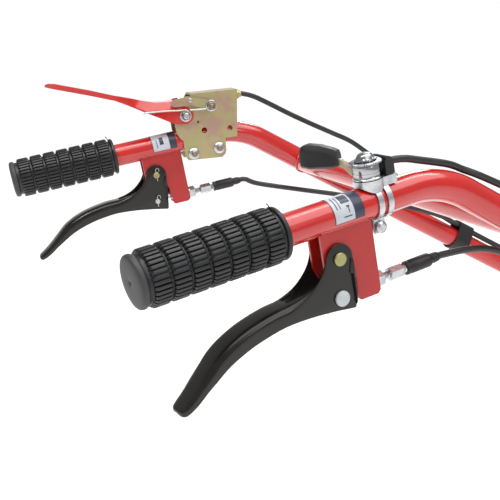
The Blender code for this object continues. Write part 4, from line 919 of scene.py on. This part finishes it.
@dataclass
class Grip:
    """A moulded rubber grip with seven rings of longitudinal teeth."""

    side: Side
    rings: int = 7
    first_ring: float = 0.0108
    pitch: float = 0.0164
    band: float = 0.0144
    teeth: int = 35
    core: float = 0.0203
    tooth_height: float = 0.0032
    cap_length: float = 0.0066

    def profile(self) -> list[Pair]:
        """Stations of the turned core, from the end cap to the front flange."""
        rows: list[Pair] = [
            (0.0045, 0.0014), (0.0005, 0.0015), (0.0001, 0.0030), (0.0, 0.0080), (0.0002, 0.0140),
            (0.0007, 0.0185), (0.0014, 0.0206), (0.0024, 0.0216), (0.0040, 0.0219), (0.0056, 0.0218),
            (0.0066, 0.0212), (0.0072, 0.0202), (0.0090, 0.0198),
        ]
        for index in range(self.rings):
            start = self.first_ring + index * self.pitch
            rows += [
                (start, self.core - 0.0004), (start + 0.0016, self.core),
                (start + self.band - 0.0016, self.core), (start + self.band, self.core - 0.0004),
            ]
        rows += [
            (0.1262, 0.0197), (0.1265, 0.0210), (0.1272, 0.0220), (0.1286, 0.0224), (0.1299, 0.0221),
            (0.1307, 0.0210), (0.1309, 0.0180), (0.1309, 0.0143),
        ]
        return rows

    def flash(self) -> None:
        """The moulding's thread of rubber left on the front flange."""
        place = LAYOUT.bar(self.side)
        hair = [
            (0.0, 0.1262, 0.0205), (0.0002, 0.1258, 0.0232), (0.0004, 0.1248, 0.0252),
            (0.0002, 0.1238, 0.0266),
        ]
        points = [place @ Vector((self.side.value * x, y, z)) for x, y, z in hair]
        piece = Bench.tube(f"{self.side.prefix}grip_flash", points, 0.00045, 3)
        Bench.smooth(piece, 60.0)
        dress(piece, RUBBER, Body.FRAME, "black_rubber")

    def build(self) -> None:
        """Make the grip."""
        piece = Bench.turned(f"{self.side.prefix}ribbed_grip", self.profile(), self.teeth * 3)

        def raise_teeth() -> None:
            bpy.ops.mesh.select_all(action="DESELECT")
            mesh = bmesh.from_edit_mesh(piece.data)
            step = 2.0 * math.pi / (self.teeth * 3)
            spokes = sorted(math.atan2(vert.co.y, vert.co.x) % step for vert in mesh.verts)
            start = spokes[len(spokes) // 2]
            for face in mesh.faces:
                middle = face.calc_center_median()
                along = (middle.z - self.first_ring) % self.pitch
                inside = self.first_ring < middle.z < self.first_ring + self.rings * self.pitch
                column = int(math.floor((math.atan2(middle.y, middle.x) - start) / step + 0.01))
                on_band = inside and along < self.band
                on_tooth = column % 3 != 0 and len(face.verts) == 4
                face.select = on_band and on_tooth and middle.to_2d().length > self.core - 0.0013
            bmesh.update_edit_mesh(piece.data)
            bpy.ops.mesh.extrude_region_move(TRANSFORM_OT_translate={"value": (0.0, 0.0, 0.0)})
            mesh = bmesh.from_edit_mesh(piece.data)
            for vert in mesh.verts:
                if vert.select:
                    along = (vert.co.z - self.first_ring) % self.pitch
                    end = min(abs(along), abs(self.band - along), abs(self.pitch - along))
                    crown = self.tooth_height * (0.55 if end < 0.0008 else 1.0)
                    spoke = Vector((vert.co.x, vert.co.y, 0.0)).normalized()
                    vert.co = Vector((0.0, 0.0, vert.co.z)) + spoke * (self.core + crown)
            bmesh.update_edit_mesh(piece.data)

        Bench.edit(piece, raise_teeth)
        Bench.soften(piece, 0.00028, 2, 38.0)
        Bench.smooth(piece, 38.0)
        Bench.settle(piece, LAYOUT.bar(self.side) @ ALONG_Y, self.side)
        dress(piece, RUBBER, Body.FRAME, "black_rubber", f"{self.side.prefix}grip")
        self.flash()
        piece.data.materials.append(CAP_RUBBER.material())
        rear = LAYOUT.bar(self.side).inverted()
        for face in piece.data.polygons:
            if (rear @ face.center).y < self.cap_length:
                face.material_index = 1


# ---------------------------------------------------------------- steering levers


@dataclass
class SteeringLever:
    """A pressed lever: a hooked blade with its sides turned down, open into two cheeks at the pivot."""

    side: Side
    half_width: float = 0.0133
    sheet: float = 0.0024
    web_front: float = 0.122
    web_end: float = 0.150
    pivot: Pair = (0.1745, -0.0335)
    boss: float = 0.0127
    left_lift: float = math.radians(3.5)
    last_curved: int = 25

    def stations(self) -> list[Sequence[float]]:
        """Upper edge, lower edge and half width, (y, z, y, z, x), from the tip to the front corner."""
        upper = [
            (0.0138, -0.1132), (0.0142, -0.1119), (0.0157, -0.1103), (0.0188, -0.1080), (0.0260, -0.1027),
            (0.0340, -0.0955), (0.0430, -0.0868),
            (0.0520, -0.0785), (0.0640, -0.0712), (0.0800, -0.0648), (0.0960, -0.0608), (0.1100, -0.0585),
            (0.1240, -0.0575), (0.1390, -0.0540), (0.1500, -0.0480), (0.1580, -0.0395),
        ]
        lower = [
            (0.0138, -0.1136), (0.0146, -0.1146), (0.0164, -0.1151), (0.0200, -0.1143), (0.0292, -0.1092),
            (0.0385, -0.1020), (0.0490, -0.0952),
            (0.0590, -0.0890), (0.0700, -0.0840), (0.0850, -0.0790), (0.1000, -0.0757), (0.1130, -0.0737),
            (0.1250, -0.0732), (0.1390, -0.0737), (0.1500, -0.0746), (0.1570, -0.0755),
        ]
        widths = [0.0020, 0.0070, 0.0094, 0.0110, 0.0120, 0.0128, 0.0132] + [self.half_width] * 9
        arc = []
        for k in range(11):
            angle = math.radians(172.0 - 184.0 * k / 10)
            arc.append(
                (self.pivot[0] + self.boss * math.cos(angle), self.pivot[1] + self.boss * math.sin(angle))
            )
        upper += arc + [(0.1843, -0.0480)]
        lower += [
            (0.1595, -0.0757), (0.1620, -0.0760), (0.1645, -0.0763), (0.1670, -0.0767), (0.1700, -0.0771),
            (0.1730, -0.0776), (0.1760, -0.0781), (0.1795, -0.0786), (0.1825, -0.0790), (0.1840, -0.0778),
            (0.1843, -0.0740), (0.1843, -0.0560),
        ]
        widths += [self.half_width] * 12
        return [(*top, *bottom, width) for top, bottom, width in zip(upper, lower, widths)]

    def fine(self) -> list[Sequence[float]]:
        """The stations with two more in each gap: curved along the blade, straight round the cheeks."""
        rough = self.stations()
        made: list[Sequence[float]] = []
        for index in range(len(rough) - 1):
            four = [rough[min(max(index + k, 0), len(rough) - 1)] for k in (-1, 0, 1, 2)]
            for share in (0.0, 1.0 / 3.0, 2.0 / 3.0):
                if index > self.last_curved:
                    made.append([a + (b - a) * share for a, b in zip(four[1], four[2])])
                else:
                    made.append([between(*values, share) for values in zip(*four)])
        made.append(rough[-1])
        return made

    def build(self) -> None:
        """Make the lever."""
        rows = []
        walls = []
        count = 19
        for top_y, top_z, low_y, low_z, width in self.fine():
            top = Vector((0.0, top_y, top_z))
            fall = Vector((0.0, low_y, low_z)) - top
            depth = max(fall.length, 0.0001)
            share = min(max((top_y - self.web_front) / (self.web_end - self.web_front), 0.0), 1.0)
            corner = min(0.0062, depth * 0.55, width * 0.62) * (1.0 - share) + 0.0004 * share
            opening = (width - corner) * math.sin(share * math.pi / 2.0) ** 0.6 if share > 0.0 else 0.0
            row = []
            for k in range(count):
                way = -1.0 if k < count / 2 else 1.0
                j = min(k, count - 1 - k)
                if j <= 4:
                    along = corner / depth + (1.0 - corner / depth) * (4 - j) / 4.0
                    row.append(top + fall * along + Vector((way * width, 0.0, 0.0)))
                elif j <= 7:
                    angle = math.radians(90.0 * (j - 4) / 4.0)
                    across = width - corner + corner * math.cos(angle)
                    sink = corner * (1.0 - math.sin(angle)) / depth
                    row.append(top + fall * sink + Vector((way * across, 0.0, 0.0)))
                elif j == 8:
                    across = max(opening, width * 0.5) if share < 1.0 else opening
                    row.append(top + Vector((way * across, 0.0, 0.0)))
                else:
                    row.append(top)
            rows.append(row)
            walls.append(min(1.0, depth * 0.4 / self.sheet))
        name = f"{self.side.prefix}pressed_lever"
        piece = Bench.sheet(name, rows)
        wall = piece.vertex_groups.new(name="wall")
        for index, share in enumerate(walls):
            wall.add(list(range(index * count, (index + 1) * count)), share, "REPLACE")

        def open_front() -> None:
            bpy.ops.mesh.select_all(action="DESELECT")
            mesh = bmesh.from_edit_mesh(piece.data)
            for face in mesh.faces:
                middle = face.calc_center_median()
                touches_middle = min(abs(vert.co.x) for vert in face.verts) < 0.00001
                face.select = middle.y > self.web_front and touches_middle
            bmesh.update_edit_mesh(piece.data)
            bpy.ops.mesh.delete(type="FACE")
            bpy.ops.mesh.select_all(action="SELECT")
            bpy.ops.mesh.remove_doubles(threshold=0.00001)

        Bench.edit(piece, open_front)
        top_face = max(
            piece.data.polygons, key=lambda face: face.center.z if face.center.y < 0.11 else -1.0,
        )
        if top_face.normal.z < 0.0:
            piece.data.flip_normals()
        Bench.apply(
            piece, "SOLIDIFY", thickness=self.sheet, offset=-1.0, vertex_group="wall",
            thickness_vertex_group=0.0,
        )
        Bench.soften(piece, 0.0004, 2, 50.0)
        Bench.smooth(piece, 45.0)
        turn = -self.left_lift if self.side is Side.LEFT else 0.0
        hub = Matrix.Translation((0.0, *self.pivot))
        place = LAYOUT.bar(self.side) @ hub @ Matrix.Rotation(turn, 4, "X") @ hub.inverted()
        Bench.settle(piece, place, self.side)
        body = Body.RIGHT_LEVER if self.side is Side.RIGHT else Body.LEFT_LEVER
        dress(piece, LEVER_BLACK, body, "black_paint", f"{self.side.prefix}steering_lever")
        prefix = self.side.prefix
        renew_all([
            (prefix + "lever_pivot_pin", PIN_YELLOW, Body.FRAME, "yellow_zinc", 0.0002),
            (prefix + "pivot_cotter", WIRE, Body.FRAME, "steel_wire", 0.0002),
            (prefix + "cable_pin", PIN_ZINC, body, "white_zinc", 0.0002),
            (prefix + "cable_pin_cotter", WIRE, body, "steel_wire", 0.0002),
        ])


@dataclass
class LeverMount:
    """The red channel under a bar with its cable adjuster, boot and yoke."""

    side: Side
    height: float = -0.068
    thread_pitch: float = 0.001

    def thread(self, start: float, turns: int, first: float, second: float) -> list[Pair]:
        """Stations of a thread whose radius swings between two values."""
        half = self.thread_pitch / 2.0
        return [(start + k * half, second if k % 2 else first) for k in range(turns * 2)]

    def build(self) -> None:
        """Make the bracket and what is screwed into it."""
        prefix = self.side.prefix
        yoke = Body.RIGHT_YOKE if self.side is Side.RIGHT else Body.LEFT_YOKE
        renew_all([
            (prefix + "lever_bracket", RED_SATIN, Body.FRAME, "red_paint", 0.0007),
            (prefix + "cable_yoke", WIRE, yoke, "steel_wire", 0.0003),
        ])
        place = LAYOUT.bar(self.side) @ Matrix.Translation((0.0, 0.0, self.height)) @ ALONG_Y
        zinc = (WHITE_ZINC, Body.FRAME, "white_zinc")
        screw = [(0.189, 0.0028), *self.thread(0.1895, 39, 0.0030, 0.0035)]
        head = len(screw)
        screw += [
            (0.2285, 0.0030), (0.2285, 0.0050), (0.2291, 0.0055), (0.2419, 0.0055), (0.2425, 0.0050),
            (0.2425, 0.0032), *self.thread(0.2430, 9, 0.0035, 0.0031),
        ]
        turn_part(
            f"{prefix}threaded_adjuster", screw, place, self.side, zinc, [prefix + "adjuster_screw"], 36,
            (head + 2, head + 3), 30.0,
        )
        turn_part(
            f"{prefix}flanged_jam_nut",
            [
                (0.2123, 0.0036), (0.2123, 0.0070), (0.2128, 0.0074), (0.2139, 0.0074), (0.2141, 0.0065),
                (0.2206, 0.0065), (0.2213, 0.0059), (0.2213, 0.0036),
            ],
            place, self.side, zinc, [prefix + "jam_nut"], 36, (4, 5), 30.0,
        )
        turn_part(
            f"{prefix}ribbed_boot",
            [
                (0.2462, 0.0040), (0.2462, 0.0058), (0.2468, 0.0062), (0.2485, 0.0062), (0.2488, 0.0059),
                (0.2500, 0.0059), (0.2503, 0.0062), (0.2700, 0.0063), (0.2715, 0.0061), (0.2728, 0.0054),
                (0.2735, 0.0046), (0.2750, 0.0045), (0.2765, 0.0047), (0.2785, 0.0046), (0.2800, 0.0044),
                (0.2815, 0.0042), (0.2822, 0.0038), (0.2822, 0.0034),
            ],
            place, self.side, (PLASTIC, Body.FRAME, "black_rubber"), [prefix + "cable_boot"], crease=50.0,
        )


# ---------------------------------------------------------------- clutch and throttle


@dataclass
class Clutch:
    """The plated bracket over the left bar, its red lever, lock link, return spring and wire."""

    pivot: Pair = (0.2262, 0.032)
    link_pivot: Pair = (0.2604, 0.0377)
    clamp_at: tuple[float, float] = (0.2273, 0.2608)
    clamp_height: float = -0.0176
    cheek: float = 0.0166
    lever_cheek: float = 0.0189
    link_cheek: float = 0.0214
    link_head: float = 0.0140

    @staticmethod
    def fastener(name: str, at: Pair, start: float, stations: Sequence[Pair], finish: Finish = WHITE_ZINC,
                 hexes: Iterable[int] = (), node: str = "", outboard: bool = False) -> None:
        """One turned part on an axis across the left bar.

        Args:
            name: the piece's name.
            at: its place along and above the bar's axis.
            start: the distance from the bar's axis that the stations are measured from.
            stations: (distance past the start, radius).
            finish: its surface.
            hexes: stations with flats.
            node: the CAD node that it replaces.
            outboard: True stands it away from the machine's middle.
        """
        turn = Matrix.Rotation(math.radians(-90.0 if outboard else 90.0), 4, "Y")
        place = LAYOUT.bar(Side.LEFT) @ Matrix.Translation((0.0, *at)) @ turn
        profile = [(start + past, radius) for past, radius in stations]
        look = (finish, Body.FRAME, "white_zinc")
        turn_part(name, profile, place, Side.RIGHT, look, [node] if node else [], 48, hexes)

    def fasteners(self) -> None:
        """The pivot's nut, and both ends of the link's bolt and of each clamp bolt."""
        flats = (1, 2)
        face = self.lever_cheek
        self.fastener(
            "clutch_pivot_washer", self.pivot, face,
            [
                (0.0, 0.0041), (0.0, 0.0072), (0.0004, 0.0075), (0.0012, 0.0074), (0.0014, 0.0066),
                (0.0014, 0.0041),
            ],
        )
        # the locknut takes the darkened zinc, which paints in its shadow
        self.fastener(
            "clutch_pivot_locknut", self.pivot, face,
            [
                (0.0015, 0.0041), (0.0015, 0.0052), (0.0050, 0.0052), (0.0058, 0.0047), (0.0065, 0.0044),
                (0.0065, 0.0035),
            ],
            SHADOW_DARK_ZINC, flats, "clutch_pivot_nut",
        )
        renew("clutch_pivot_bolt", WHITE_ZINC, Body.FRAME, "white_zinc", 0.0004)
        face = self.link_cheek
        self.fastener(
            "lock_link_collar", self.link_pivot, face,
            [
                (self.link_head - face, 0.0030), (0.0, 0.0030), (0.0, 0.0068), (0.0005, 0.0072),
                (0.0012, 0.0071), (0.0016, 0.0063), (0.0014, 0.0054), (0.0014, 0.0030),
            ],
        )
        # the locknut takes the darkened zinc, which paints in its shadow
        self.fastener(
            "lock_link_locknut", self.link_pivot, face,
            [
                (0.0015, 0.0026), (0.0015, 0.0048), (0.0046, 0.0048), (0.0052, 0.0043), (0.0050, 0.0030),
                (0.0040, 0.0026),
            ],
            SHADOW_DARK_ZINC, flats, "lock_link_bolt",
        )
        stud = [(0.0020, 0.0023), (0.0056, 0.0023), (0.0060, 0.0018), (0.0060, 0.0010)]
        self.fastener("lock_link_stud_end", self.link_pivot, face, stud, COPPERY)
        face = self.cheek
        flange = [
            (-2.0 * face, 0.0030), (0.0, 0.0030), (0.0, 0.0068), (0.0004, 0.0072), (0.0012, 0.0071),
            (0.0026, 0.0054), (0.0030, 0.0046), (0.0030, 0.0030),
        ]
        hexagon = [
            (0.0028, 0.0022), (0.0028, 0.0037), (0.0049, 0.0037), (0.0054, 0.0032), (0.0052, 0.0022),
        ]
        stud = [(0.0030, 0.0019), (0.0055, 0.0019), (0.0058, 0.0014), (0.0058, 0.0008)]
        head = [(0.0, 0.0030), (0.0, 0.0050), (0.0044, 0.0050), (0.0050, 0.0045), (0.0050, 0.0010)]
        for name, along in zip(("rear", "front"), self.clamp_at):
            at = (along, self.clamp_height)
            self.fastener(f"clamp_bolt_flange_{name}", at, face, flange, node=f"clutch_clamp_bolt_{name}")
            # the hexagon takes the darkened zinc, which paints in its shadow
            self.fastener(f"clamp_bolt_hexagon_{name}", at, face, hexagon, SHADOW_DARK_ZINC, flats)
            self.fastener(f"clamp_bolt_stud_end_{name}", at, face, stud, COPPERY)
            self.fastener(f"clamp_bolt_head_{name}", at, face, head, WHITE_ZINC, flats, outboard=True)
        head = [(0.0, 0.0030), (0.0, 0.0050), (0.0035, 0.0050), (0.0040, 0.0045), (0.0040, 0.0010)]
        self.fastener(
            "lock_link_bolt_head", self.link_pivot, -self.link_head, head, WHITE_ZINC, flats,
            outboard=True,
        )

    def spring(self) -> None:
        """The return spring's leg: one end beside the link's bolt, the other laid on the lever."""
        legs = {
            "lever": (
                Body.CLUTCH_LEVER,
                [
                    (0.0213, 0.2290, 0.0388), (0.0211, 0.2200, 0.0402), (0.0206, 0.2050, 0.0428),
                    (0.0199, 0.1900, 0.0448), (0.0198, 0.1760, 0.0464), (0.0194, 0.1735, 0.0456),
                ],
            ),
            "bracket": (
                Body.FRAME,
                [
                    (0.0224, 0.2530, 0.0352), (0.0223, 0.2480, 0.0357), (0.0220, 0.2400, 0.0368),
                    (0.0215, 0.2325, 0.0381),
                ],
            ),
        }
        for name, (body, leg) in legs.items():
            points = Cables.smooth([LAYOUT.bar(Side.LEFT) @ Vector(spot) for spot in leg], 18)
            piece = Bench.tube(f"spring_leg_{name}", points, 0.0010, 5)
            Bench.smooth(piece, 60.0)
            dress(piece, SPRING, body, "steel_wire")

    @staticmethod
    def barrel() -> None:
        """The pressed barrel where the cable leaves the bracket."""
        along = WIRE_RUN.stop + 0.0035
        place = Matrix.Translation((-WIRE_RUN.aside, along, WIRE_RUN.height(along)))
        place = place @ Matrix.Rotation(-WIRE_RUN.fall, 4, "X")
        piece = Bench.turned("clutch_cable_barrel", [
            (-0.0008, 0.0036), (-0.0008, 0.0052), (-0.0002, 0.0056), (0.0022, 0.0056), (0.0028, 0.0052),
            (0.0030, 0.0045), (0.0050, 0.0044), (0.0054, 0.0040), (0.0054, 0.0035),
        ], 40)
        Bench.smooth(piece, 32.0)
        Bench.settle(piece, place @ ALONG_Y)
        Bench.settle(piece, LAYOUT.bar(Side.LEFT), Side.LEFT)
        dress(piece, YELLOW_ZINC, Body.FRAME, "yellow_zinc")

    def build(self) -> None:
        """Dress every piece of the clutch control."""
        renew_all([
            ("clutch_bracket", YELLOW_ZINC, Body.FRAME, "yellow_zinc", 0.0012),
            ("clutch_cable_stop", YELLOW_ZINC, Body.FRAME, "yellow_zinc", 0.0003),
            ("clutch_lever", RED, Body.CLUTCH_LEVER, "red_paint", 0.0009),
            ("clutch_cross_pin", RED_SATIN, Body.CLUTCH_LEVER, "red_paint", 0.0003),
            ("clutch_lock_link", YELLOW_ZINC, Body.LOCK_LINK, "yellow_zinc", 0.0005),
            ("lock_link_rivet", WHITE_ZINC, Body.LOCK_LINK, "white_zinc", 0.0003),
            ("clutch_cable_wire", WIRE, Body.CLUTCH_WIRE, "steel_wire", 0.0003),
        ])
        self.fasteners()
        self.spring()
        self.barrel()


@dataclass
class Throttle:
    """The thumb lever on the right bar: strap clamp, drum, domed nut, plated arm and black knob."""

    along: float = 0.2213
    knurls: int = 48
    knurl_depth: float = 0.035
    rim_radius: float = 0.0137

    def build(self) -> None:
        """Make every piece of the throttle."""
        renew_all([
            ("throttle_strap", WHITE_ZINC, Body.FRAME, "white_zinc", 0.0003),
            ("throttle_clamp_screw", WHITE_ZINC, Body.FRAME, "white_zinc", 0.0003),
            ("throttle_base", WHITE_ZINC, Body.FRAME, "white_zinc", 0.0012),
            ("throttle_cable_block", PLASTIC, Body.FRAME, "black_plastic", 0.0009),
            ("throttle_arm", PALE_ZINC, Body.THROTTLE, "yellow_zinc", 0.0005),
            ("throttle_knob", PLASTIC, Body.THROTTLE, "black_plastic", 0.0012),
        ])
        place = LAYOUT.bar(Side.RIGHT) @ Matrix.Translation((0.0, self.along, 0.0))
        turn_part(
            "throttle_drum",
            [
                (0.0205, 0.0036), (0.0205, 0.0118), (0.0208, 0.0121), (0.0217, 0.0121), (0.0220, 0.0117),
                (0.0226, 0.0113), (0.0236, 0.0112), (0.0240, 0.0115), (0.0262, 0.0115), (0.0264, 0.0111),
                (0.0272, 0.0111), (0.0274, 0.0115), (0.0318, 0.0115), (0.0324, 0.0112), (0.0328, 0.0106),
                (0.0328, 0.0036),
            ],
            place, Side.RIGHT, (CHROME, Body.THROTTLE, "chrome"), ["throttle_hub"], 64, crease=35.0,
        )
        self.washer(place)
        worn = (WORN_CHROME, Body.FRAME, "chrome")
        turn_part(
            "throttle_domed_nut",
            [
                (0.0170, 0.0029), (0.0360, 0.0029), (0.0361, 0.0092), (0.0365, 0.0096), (0.0372, 0.0094),
                (0.0376, 0.0084), (0.0378, 0.0076), (0.0392, 0.0072), (0.0404, 0.0066), (0.0414, 0.0056),
                (0.0420, 0.0044), (0.0423, 0.0028), (0.0424, 0.0010),
            ],
            place, Side.RIGHT, worn, ["throttle_pivot_bolt"], 64, (6,), 35.0,
        )

    def washer(self, place: Matrix) -> None:
        """The knurled washer under the domed nut."""
        piece = Bench.turned("throttle_knurled_washer", [
            (0.0333, 0.0034), (0.0333, 0.0128), (0.0337, self.rim_radius), (0.0351, self.rim_radius),
            (0.0356, 0.0130), (0.0358, 0.0118), (0.0358, 0.0034),
        ], self.knurls * 2)
        for vert in piece.data.vertices:
            column = round(math.atan2(vert.co.y, vert.co.x) * self.knurls / math.pi)
            if math.hypot(vert.co.x, vert.co.y) > 0.0125 and column % 2:
                vert.co.x *= 1.0 - self.knurl_depth
                vert.co.y *= 1.0 - self.knurl_depth
        Bench.smooth(piece, 20.0)
        Bench.settle(piece, place)
        dress(piece, WORN_CHROME, Body.FRAME, "chrome", "throttle_rim_washer")


# ---------------------------------------------------------------- labels


@dataclass
class Label:
    """A thin printed film wrapped round a bar, with plain marks."""

    side: Side
    rear: float
    front: float
    start: float
    end: float
    band: float
    margin: float
    marks: Sequence[tuple[str, float, float, float, float, Finish]]
    lifts: tuple[float, float, float] = (0.00010, 0.00017, 0.00024)

    def patch(
        self, name: str, rear: float, front: float, start: float, end: float, lift: float, finish: Finish,
    ) -> None:
        """One film: a stretch of the bar's length and an angle from the top towards outboard."""
        radius = LAYOUT.tube_radius + lift
        steps = max(3, int(abs(end - start) / 5.0))
        rows = []
        for j in range(5):
            along = rear + (front - rear) * j / 4.0
            row = []
            for k in range(steps + 1):
                angle = math.radians(start + (end - start) * k / steps)
                row.append((radius * math.sin(angle), along, radius * math.cos(angle)))
            rows.append(row)
        piece = Bench.sheet(self.side.prefix + name, rows)
        face = piece.data.polygons[0]
        outward = Vector((face.center.x, 0.0, face.center.z))
        if face.normal.dot(outward) < 0.0:
            piece.data.flip_normals()
        Bench.apply(piece, "SOLIDIFY", thickness=0.00006, offset=-1.0)
        Bench.smooth(piece, 40.0)
        Bench.settle(piece, LAYOUT.bar(self.side), self.side)
        dress(piece, finish, Body.FRAME, "black_plastic")

    def build(self) -> None:
        """Make the label's films, one over another."""
        border, field_lift, mark_lift = self.lifts
        rear, front, start, end = self.rear, self.front, self.start, self.end
        split = front - self.band
        self.patch("label_border", rear, front, start, end, border, LABEL_BLACK)
        self.patch(
            "label_field", rear + 0.0009, split - 0.0002, start + 2.2, end - 2.2, field_lift, LABEL_WHITE,
        )
        self.patch(
            "label_band", split, front - self.margin, start + 1.0, end - 1.0, field_lift, LABEL_NAVY,
        )
        for name, low, high, low_angle, high_angle, finish in self.marks:
            self.patch(name, rear + low, rear + high, low_angle, high_angle, mark_lift, finish)


# name, start and end along the label, start and end round the bar in degrees, finish
RIGHT_MARKS = (
    ("label_block", 0.0100, 0.0183, 6.0, 46.0, LABEL_NAVY),
    ("label_stem", 0.0145, 0.0153, 58.0, 82.0, LABEL_BLACK),
    ("label_head", 0.0135, 0.0163, 56.0, 62.0, LABEL_BLACK),
    ("label_tick_near", 0.0135, 0.0170, 90.0, 94.0, LABEL_BLACK),
    ("label_tick_far", 0.0090, 0.0140, 90.0, 94.0, LABEL_BLACK),
    ("label_slot", 0.0040, 0.0050, 8.0, 62.0, LABEL_BLACK),
    ("label_slot_edge", 0.0072, 0.0080, 8.0, 62.0, LABEL_BLACK),
)
LEFT_MARKS = (
    ("label_rule", 0.0060, 0.0068, -92.0, -48.0, LABEL_BLACK),
    ("label_bar", 0.0100, 0.0150, -80.0, -40.0, LABEL_NAVY),
)


# ---------------------------------------------------------------- cables


@dataclass
class Cables:
    """The four sheathed cables, their straps, anchors and end fittings."""

    radius: float = 0.00325
    seats: dict[str, Pair] = field(
        default_factory=lambda: {"steering": (-0.0062, 0.0194), "second": (0.0050, 0.0194)}
    )

    def lay(self, side: Side, near: Sequence[Place], far: Sequence[Place], seat: str) -> list[Vector]:
        """A route over the gripped stretch and the lower one, then through the strap to its end.

        Args:
            side: the side that the cable runs on.
            near: places in the gripped stretch's frame, x towards outboard.
            far: places in the lower stretch's frame.
            seat: which of the two seats the cable ends in.

        Returns:
            The places in the row frame.
        """
        x, z = self.seats[seat]
        held = [(x, y, z) for y in (0.3725, 0.3975, 0.442, 0.4867)]
        route = []
        for frame, places in ((LAYOUT.bar(side), near), (LAYOUT.lower(side), [*far, *held])):
            route += [frame @ Vector((side.value * across, along, up)) for across, along, up in places]
        return route

    @staticmethod
    def smooth(route: Sequence[Vector], count: int) -> list[Vector]:
        """Evenly spaced points of one smooth curve through a route."""
        padded = [route[0] * 2.0 - route[1], *route, route[-1] * 2.0 - route[-2]]
        fine = []
        for four in zip(padded, padded[1:], padded[2:], padded[3:]):
            fine += [between(*four, step / 24.0) for step in range(24)]
        fine.append(route[-1])
        lengths = [0.0]
        for before, after in zip(fine, fine[1:]):
            lengths.append(lengths[-1] + (after - before).length)
        spots = []
        index = 0
        for i in range(count):
            wanted = lengths[-1] * i / (count - 1)
            while index < len(fine) - 2 and lengths[index + 1] < wanted:
                index += 1
            share = (wanted - lengths[index]) / (lengths[index + 1] - lengths[index])
            spots.append(fine[index].lerp(fine[index + 1], min(max(share, 0.0), 1.0)))
        return spots

    def routes(self) -> dict[str, list[Vector]]:
        """The route of each cable, as the CAD lays it."""
        found = {}
        for side in Side:
            start = [(0.0, y, -0.068) for y in (0.2523, 0.262, 0.272, 0.2825)] + [(0.0, 0.2900, -0.0686)]
            if side is Side.RIGHT:
                fall = [(-0.0035, 0.060, -0.0440), (-0.0075, 0.088, -0.0330), (-0.0140, 0.150, -0.0220)]
            else:
                fall = [(-0.0030, 0.058, -0.0540), (-0.0080, 0.1145, -0.0370), (-0.0140, 0.172, -0.0190)]
            fall += [(-0.0215, 0.228, -0.0040), (-0.0240, 0.285, 0.0105), (-0.0160, 0.335, 0.0185)]
            found[f"{side.prefix}steering_cable"] = self.lay(side, start, fall, "steering")
        lean = self.radius * math.tan(WIRE_RUN.fall)
        clear = WIRE_RUN.stop + WIRE_RUN.stop_thickness + 2.0 * LAYOUT.gap + lean
        start = [(-WIRE_RUN.aside, y, WIRE_RUN.height(y)) for y in (clear, clear + 0.003, clear + 0.006)]
        arch = [
            (-0.0080, -0.0030, 0.0436), (-0.0070, 0.0225, 0.0450), (-0.0060, 0.0560, 0.0460),
            (-0.0050, 0.0910, 0.0480), (-0.0040, 0.1300, 0.0510), (-0.0030, 0.1500, 0.0525),
            (-0.0015, 0.1720, 0.0515), (0.0010, 0.2300, 0.0440), (0.0035, 0.3000, 0.0300),
            (0.0050, 0.3450, 0.0215),
        ]
        found["clutch_cable"] = self.lay(Side.LEFT, start, arch, "second")
        start = [
            (0.0, 0.2375, 0.0295), (0.0, 0.2405, 0.0295), (0.0, 0.2445, 0.0295), (0.0, 0.2600, 0.0270),
            (0.0, 0.2763, 0.0212), (0.0, 0.3055, 0.0099), (0.0, 0.3200, 0.0014),
        ]
        run = [
            (0.0, 0.0327, 0.0189), (0.0005, 0.0500, 0.0204), (0.0020, 0.1000, 0.0240),
            (0.0035, 0.1700, 0.0275), (0.0045, 0.2500, 0.0265), (0.0050, 0.3200, 0.0215),
        ]
        found["throttle_cable"] = self.lay(Side.RIGHT, start, run, "second")
        return found

    def build(self) -> None:
        """Make the cables and what holds them."""
        for name, route in self.routes().items():
            piece = Bench.tube(f"{name}_sheath", self.smooth(route, 90), self.radius, 8)
            Bench.smooth(piece, 50.0)
            dress(piece, SHEATH, Body.FRAME, "cable_sheath", name)
        for side in Side:
            renew(side.prefix + "cable_strap", PLASTIC, Body.FRAME, "black_rubber", 0.0006)
            renew(side.prefix + "cable_anchor", RED_SATIN, Body.FRAME, "red_paint", 0.0005)
        for start in ("right_steering", "left_steering", "throttle_cable", "clutch_cable"):
            renew(f"{start}_ferrule", WHITE_ZINC, Body.FRAME, "white_zinc", 0.0003)


def main() -> None:
    """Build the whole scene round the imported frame."""
    logging.basicConfig(level=logging.INFO, format="%(name)s: %(message)s")
    FRAME.update(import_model())
    cad_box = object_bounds()
    studio = Studio()
    studio.camera()
    studio.build(cad_box[0][2])
    Cables().build()
    TubeFrame().build()
    for side in Side:
        Grip(side).build()
        SteeringLever(side).build()
        LeverMount(side).build()
    Clutch().build()
    Throttle().build()
    Label(Side.RIGHT, 0.1755, 0.2050, -62.0, 112.0, 0.0096, 0.0002, RIGHT_MARKS).build()
    Label(Side.LEFT, 0.1775, 0.2090, -112.0, 30.0, 0.0090, 0.0004, LEFT_MARKS).build()


if __name__ == "__main__":
    main()
